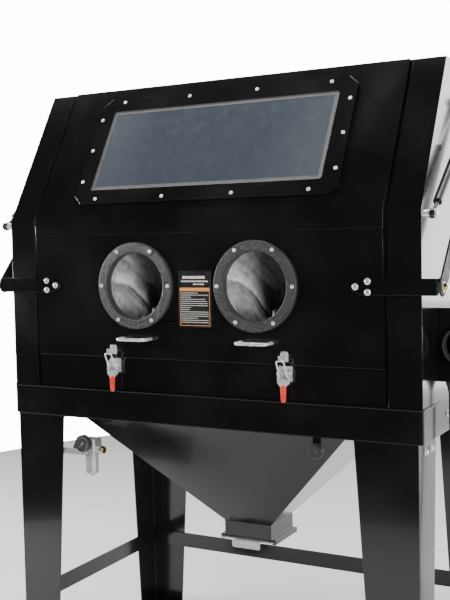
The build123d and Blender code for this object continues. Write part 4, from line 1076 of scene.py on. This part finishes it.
def addPlateMarks():
    shape = Shape()
    draw = random.Random(11)
    start, end = plate["face"] + 0.0002, plate["face"] - plate["raise"]

    def bar(x0, z0, x1, z1, finish):
        x, z = plate["x"], plate["z"]
        shape.extruded(rectangle(x + x0, z + z0, x + x1, z + z1), "XZ", start, end, 0.0, finish)

    edge = 0.0448
    bar(-edge, 0.0205, edge, 0.0295, 0)  # band
    bar(-edge, -0.0700, -edge + 0.0012, 0.0205, 0)
    bar(edge - 0.0012, -0.0700, edge, 0.0205, 0)
    bar(-edge + 0.0012, -0.0700, edge - 0.0012, -0.0688, 0)
    for x0, z0, x1, z1 in ((-0.036, 0.053, 0.036, 0.060), (-0.040, 0.0445, 0.040, 0.0480),
                           (-0.004, 0.0370, 0.030, 0.0400)):
        x = x0
        while x < x1 - 0.004:
            word = min(x1 - x, draw.uniform(0.006, 0.013))
            bar(x, z0, x + word, z1, 1)
            x += word + 0.0014
    for row in range(plate["rows"]):
        z = 0.0150 - row * plate["rowStep"]
        x = -0.0415
        last = draw.choice((0.0405, 0.0405, 0.034, 0.010, -0.012))
        while x < last - 0.003:
            word = min(last - x, draw.uniform(0.004, 0.011))
            bar(x, z, x + word, z + plate["rowTall"], 1)
            x += word + 0.0012
    shape.piece("info_plate_marks", [plateOrange, platePale], "front_door", "plate_print")


addPlateMarks()
print("window lip and plate made")


latch = {
    "x": 0.258, "strip": -0.347, "pinY": -0.358, "pinZ": 0.950,
    "gripTop": 0.921, "gripLow": 0.877, "gripHalf": 0.0085, "gripFront": -0.3688, "gripBack": -0.3612,
}


def springTree():
    tree, wires, keys = groupTree("windSpring", [
        ("Start", "Geometry"), ("Turns", "Float"), ("Coil radius", "Float"), ("Wire radius", "Float"),
        ("Length", "Float"), ("Finish", "Material")])
    spiral = wireFrom(tree, "GeometryNodeCurveSpiral", 0, None,
                      {"Resolution": 20, "Rotations": wires["Turns"], "Start Radius": wires["Coil radius"],
                       "End Radius": wires["Coil radius"], "Height": wires["Length"]})
    wire = wireFrom(tree, "GeometryNodeCurvePrimitiveCircle", 0, None,
                    {"Resolution": 8, "Radius": wires["Wire radius"]})
    coil = wireFrom(tree, "GeometryNodeCurveToMesh", 0, None,
                    {"Curve": spiral, "Profile Curve": wire, "Fill Caps": True})
    closeGroup(tree, coil, wires["Finish"])
    return tree, keys


springMaker, springInputs = springTree()


def addGrip(side, sign):
    # dipped vinyl sleeve, flat and tapered, rounded at its end
    shape = Shape()
    x = sign * latch["x"]
    rings = 22
    around = 28
    middle = (latch["gripFront"] + latch["gripBack"]) / 2
    thick = (latch["gripBack"] - latch["gripFront"]) / 2
    loops = []
    for i in range(rings + 1):
        share = i / rings
        z = latch["gripTop"] + (latch["gripLow"] - latch["gripTop"]) * share
        end = min(1.0, math.sqrt(max(0.0, 1 - max(0.0, (share - 0.80) / 0.20) ** 2)))
        start = 0.80 + 0.20 * min(1.0, share / 0.05)
        half = latch["gripHalf"] * (1 - 0.22 * share) * end * start
        deep = thick * (0.78 + 0.22 * math.sin(math.pi * min(1, share * 1.3))) * (0.35 + 0.65 * end) * start
        loop = []
        for corner in circle(around) if i < rings else ():
            wide, tall = (math.copysign(abs(c) ** 0.75, c) for c in corner)
            loop.append(shape.work.verts.new((x + half * wide, middle + deep * tall, z)))
        loops.append(loop or [shape.work.verts.new((x, middle, z))])
    shape.cover([loops[0], *bands(loops, around, [])], 0)
    shape.piece(f"latch_grip_{side}_sleeve", [redVinyl], f"latch_lever_{side}", "red_vinyl",
                f"latch_grip_{side}", angle=60)


def addCatches():
    # keeper plates with their hooks and rivets
    shape = Shape()
    face = -0.354
    for sign in (-1, 1):
        x = sign * latch["x"]
        shape.extruded([(x - 0.011, 0.980), (x + 0.011, 0.980), (x + 0.011, 0.9985), (x + 0.008, 1.0055),
                        (x - 0.008, 1.0055), (x - 0.011, 0.9985)], "XZ", face - 0.0001, face - 0.0018, 0.0005)
        hook = [(0.0015, 0.986), (0.0225, 0.986), (0.0240, 0.9875), (0.0240, 0.9965), (0.0222, 0.9965),
                (0.0222, 0.9882), (0.0015, 0.9882)]
        shape.extruded([(face - out, z) for out, z in hook], "YZ", x - 0.0068, x + 0.0068, 0.0004)
        for dx in (-0.0068, 0.0068):
            shape.turned([(0, 0), (0.0022, 0), (0.0021, 0.0006), (0.0013, 0.0012), (0, 0.0014)],
                         (x + dx, face - 0.0018, 1.0005), (0, -1, 0), 16)
    shape.piece("latch_keepers", [zinc], "front_door", "zinc_steel", "latch_catches")


def addLatchTrim(side, sign):
    x = sign * latch["x"]
    shape = Shape()
    for end in (-1, 1):
        shape.turned([(0, 0), (0.0040, 0), (0.0039, 0.0009), (0.0026, 0.0016), (0, 0.0018)],
                     (x + end * 0.0186, latch["pinY"], latch["pinZ"]), (end, 0, 0), 18)
        shape.turned([(0, 0), (0.0030, 0), (0.0028, 0.0010), (0, 0.0014)],
                     (x + end * 0.0120, latch["strip"] - 0.0020, 0.9345), (0, -1, 0), 16)
    shape.piece(f"latch_rivets_{side}", [zinc], "cabinet", "zinc_steel")
    spring = {"Turns": 9.0, "Coil radius": 0.0042, "Wire radius": 0.0007, "Length": 0.025, "Finish": zinc}
    piece = newPiece(f"latch_spring_{side}", bpy.data.meshes.new(f"latch_spring_{side}"))
    bakeGroup(piece, springMaker, springInputs, spring)
    piece.data.transform(frameAt((x - spring["Length"] / 2, latch["pinY"], latch["pinZ"]), (1, 0, 0)))
    smooth(piece.data, 60)
    hold(piece, f"latch_lever_{side}", "zinc_steel")


for side, sign in (("left", -1), ("right", 1)):
    addGrip(side, sign)
    addLatchTrim(side, sign)
addCatches()
print("latches made")


gauge = {"x": -0.364, "z": 0.725, "back": -0.356, "front": -0.3716, "radius": 0.024, "sweep": 270,
         "ticks": 21, "needle": 225}
regulator = {"x": -0.364, "y": -0.324, "z": 0.702, "knobFace": -0.3865, "knobEnd": -0.4203,
             "knobRadius": 0.017}
flow = {"x": 0.341, "z": 0.762, "face": -0.3535, "end": -0.3695, "radius": 0.020}


def addGauge():
    shape = Shape()
    deep = gauge["back"] - gauge["front"]
    r = gauge["radius"]
    shape.turned([(0, -0.010), (0.006, -0.010), (0.006, 0), (r - 0.001, 0), (r, 0.001), (r, deep - 0.002),
                  (r - 0.001, deep - 0.0003), (r - 0.0024, deep), (r - 0.0036, deep - 0.0010),
                  (r - 0.0038, deep - 0.0030), (0, deep - 0.0030)],
                 (gauge["x"], gauge["back"], gauge["z"]), (0, -1, 0), 48, 0)
    angle = math.radians(gauge["needle"])
    face = gauge["front"] + 0.0026
    tip = Vector((math.cos(angle), 0, math.sin(angle))) * r * 0.62
    side = Vector((-math.sin(angle), 0, math.cos(angle))) * 0.0008
    centre = Vector((gauge["x"], face, gauge["z"]))
    outline = [centre - tip * 0.25 - side, centre + tip, centre - tip * 0.25 + side]
    shape.extruded([(p.x, p.z) for p in outline], "XZ", face, face - 0.0004, 0, 1)
    shape.turned([(0, 0), (0.0018, 0), (0.0016, 0.0006), (0, 0.0008)], centre, (0, -1, 0), 16, 1)
    shape.piece("regulator_gauge_case", [blackPlastic, platePale], "cabinet", "black_plastic",
                "regulator_gauge")
    tick = Shape()
    long, wide = 0.0014, 0.00028
    tick.extruded(rectangle(-long, -wide, long, wide), "XY", 0, 0.0002)
    places = []
    for i in range(gauge["ticks"]):
        turn = math.radians(225 - gauge["sweep"] * i / (gauge["ticks"] - 1))
        out = Vector((math.cos(turn), 0, math.sin(turn)))
        places.append((Vector((gauge["x"], gauge["front"] + 0.0029, gauge["z"])) + out * (r - 0.0072),
                       (0, -1, 0), out))
    spread("gauge_ticks", tick.mesh("gaugeTick"), places, platePale, "cabinet", "black_plastic", turn=0)


def ribbedKnob(name, origin, along, length, radius, ribs, body, replaced, cap):
    # turned core with ribs spread round it
    core = radius * 0.92
    shape = Shape()
    shape.turned([(0, -0.010), (0.0039, -0.010), (0.0039, 0), (core, 0), (core, length - 0.003),
                  (core - 0.0015, length - 0.0008), (core - 0.004, length), (cap, length),
                  (cap - 0.001, length - 0.0006), (0, length - 0.0006)], origin, along, 48)
    shape.piece(name, [blackPlastic], body, "black_plastic", replaced)
    rib = Shape()
    wide = math.pi * radius / ribs * 0.46
    rib.extruded([(-0.0008, -wide), (radius * 0.075, -wide * 0.6), (radius * 0.08, 0),
                  (radius * 0.075, wide * 0.6), (-0.0008, wide)], "XY", 0.0016, length - 0.0036, 0.0004)
    matrix = frameAt(origin, along)
    places = []
    for c, s in circle(ribs):
        out = (matrix.to_3x3() @ Vector((c, s, 0))).normalized()
        places.append((Vector(origin) + out * core, Vector(along), out))
    spread(name + "_ribs", rib.mesh(name + "Rib"), places, blackPlastic, body, "black_plastic", turn=0)


def addBrassRing():
    shape = Shape()
    x = regulator["x"] + 0.036
    shape.turned([(0.0062, 0), (0.0100, 0), (0.0108, 0.0008), (0.0108, 0.0060), (0.0100, 0.0068),
                  (0.0062, 0.0068)], (x, regulator["y"], regulator["z"]), (1, 0, 0), 32)
    shape.turned([(0, 0), (0.0052, 0), (0.0052, 0.0028), (0.0040, 0.0034), (0.0040, 0.0058), (0, 0.0062)],
                 (regulator["x"], regulator["y"], 0.6302), (0, 0, -1), 6)
    shape.piece("regulator_brass", [brass], "cabinet", "cast_silver")


addGauge()
ribbedKnob("regulator_knob_cap", (regulator["knobFace"], regulator["y"], regulator["z"]), (-1, 0, 0),
           regulator["knobFace"] - regulator["knobEnd"], regulator["knobRadius"], 22, "regulator_knob",
           "regulator_knob", 0.008)
ribbedKnob("flow_knob_cap", (flow["x"], flow["face"], flow["z"]), (0, -1, 0), flow["face"] - flow["end"],
           flow["radius"], 16, "flow_knob", "flow_knob", 0.007)
addBrassRing()
print("regulator, gauge and knobs made")


kept = {
    zinc: ["side_pivot_bolts", "door_handles", *both("latch_loop")],
    plated: ["work_grate"],
    sealRubber: ["door_seal", "window_gasket"],
    ringPlastic: [*both("port_ring"), "suction_collar"],
    strutBlack: ["strut_tubes"],
    chrome: ["strut_rods"],
    castSilver: ["air_regulator", "blast_gun"],
    lens: ["light_lens"],
    paneGlass: ["window_glass"],
}
for finish, names in kept.items():
    for name in names:
        dress(name, finish)
print("CAD nodes finished")
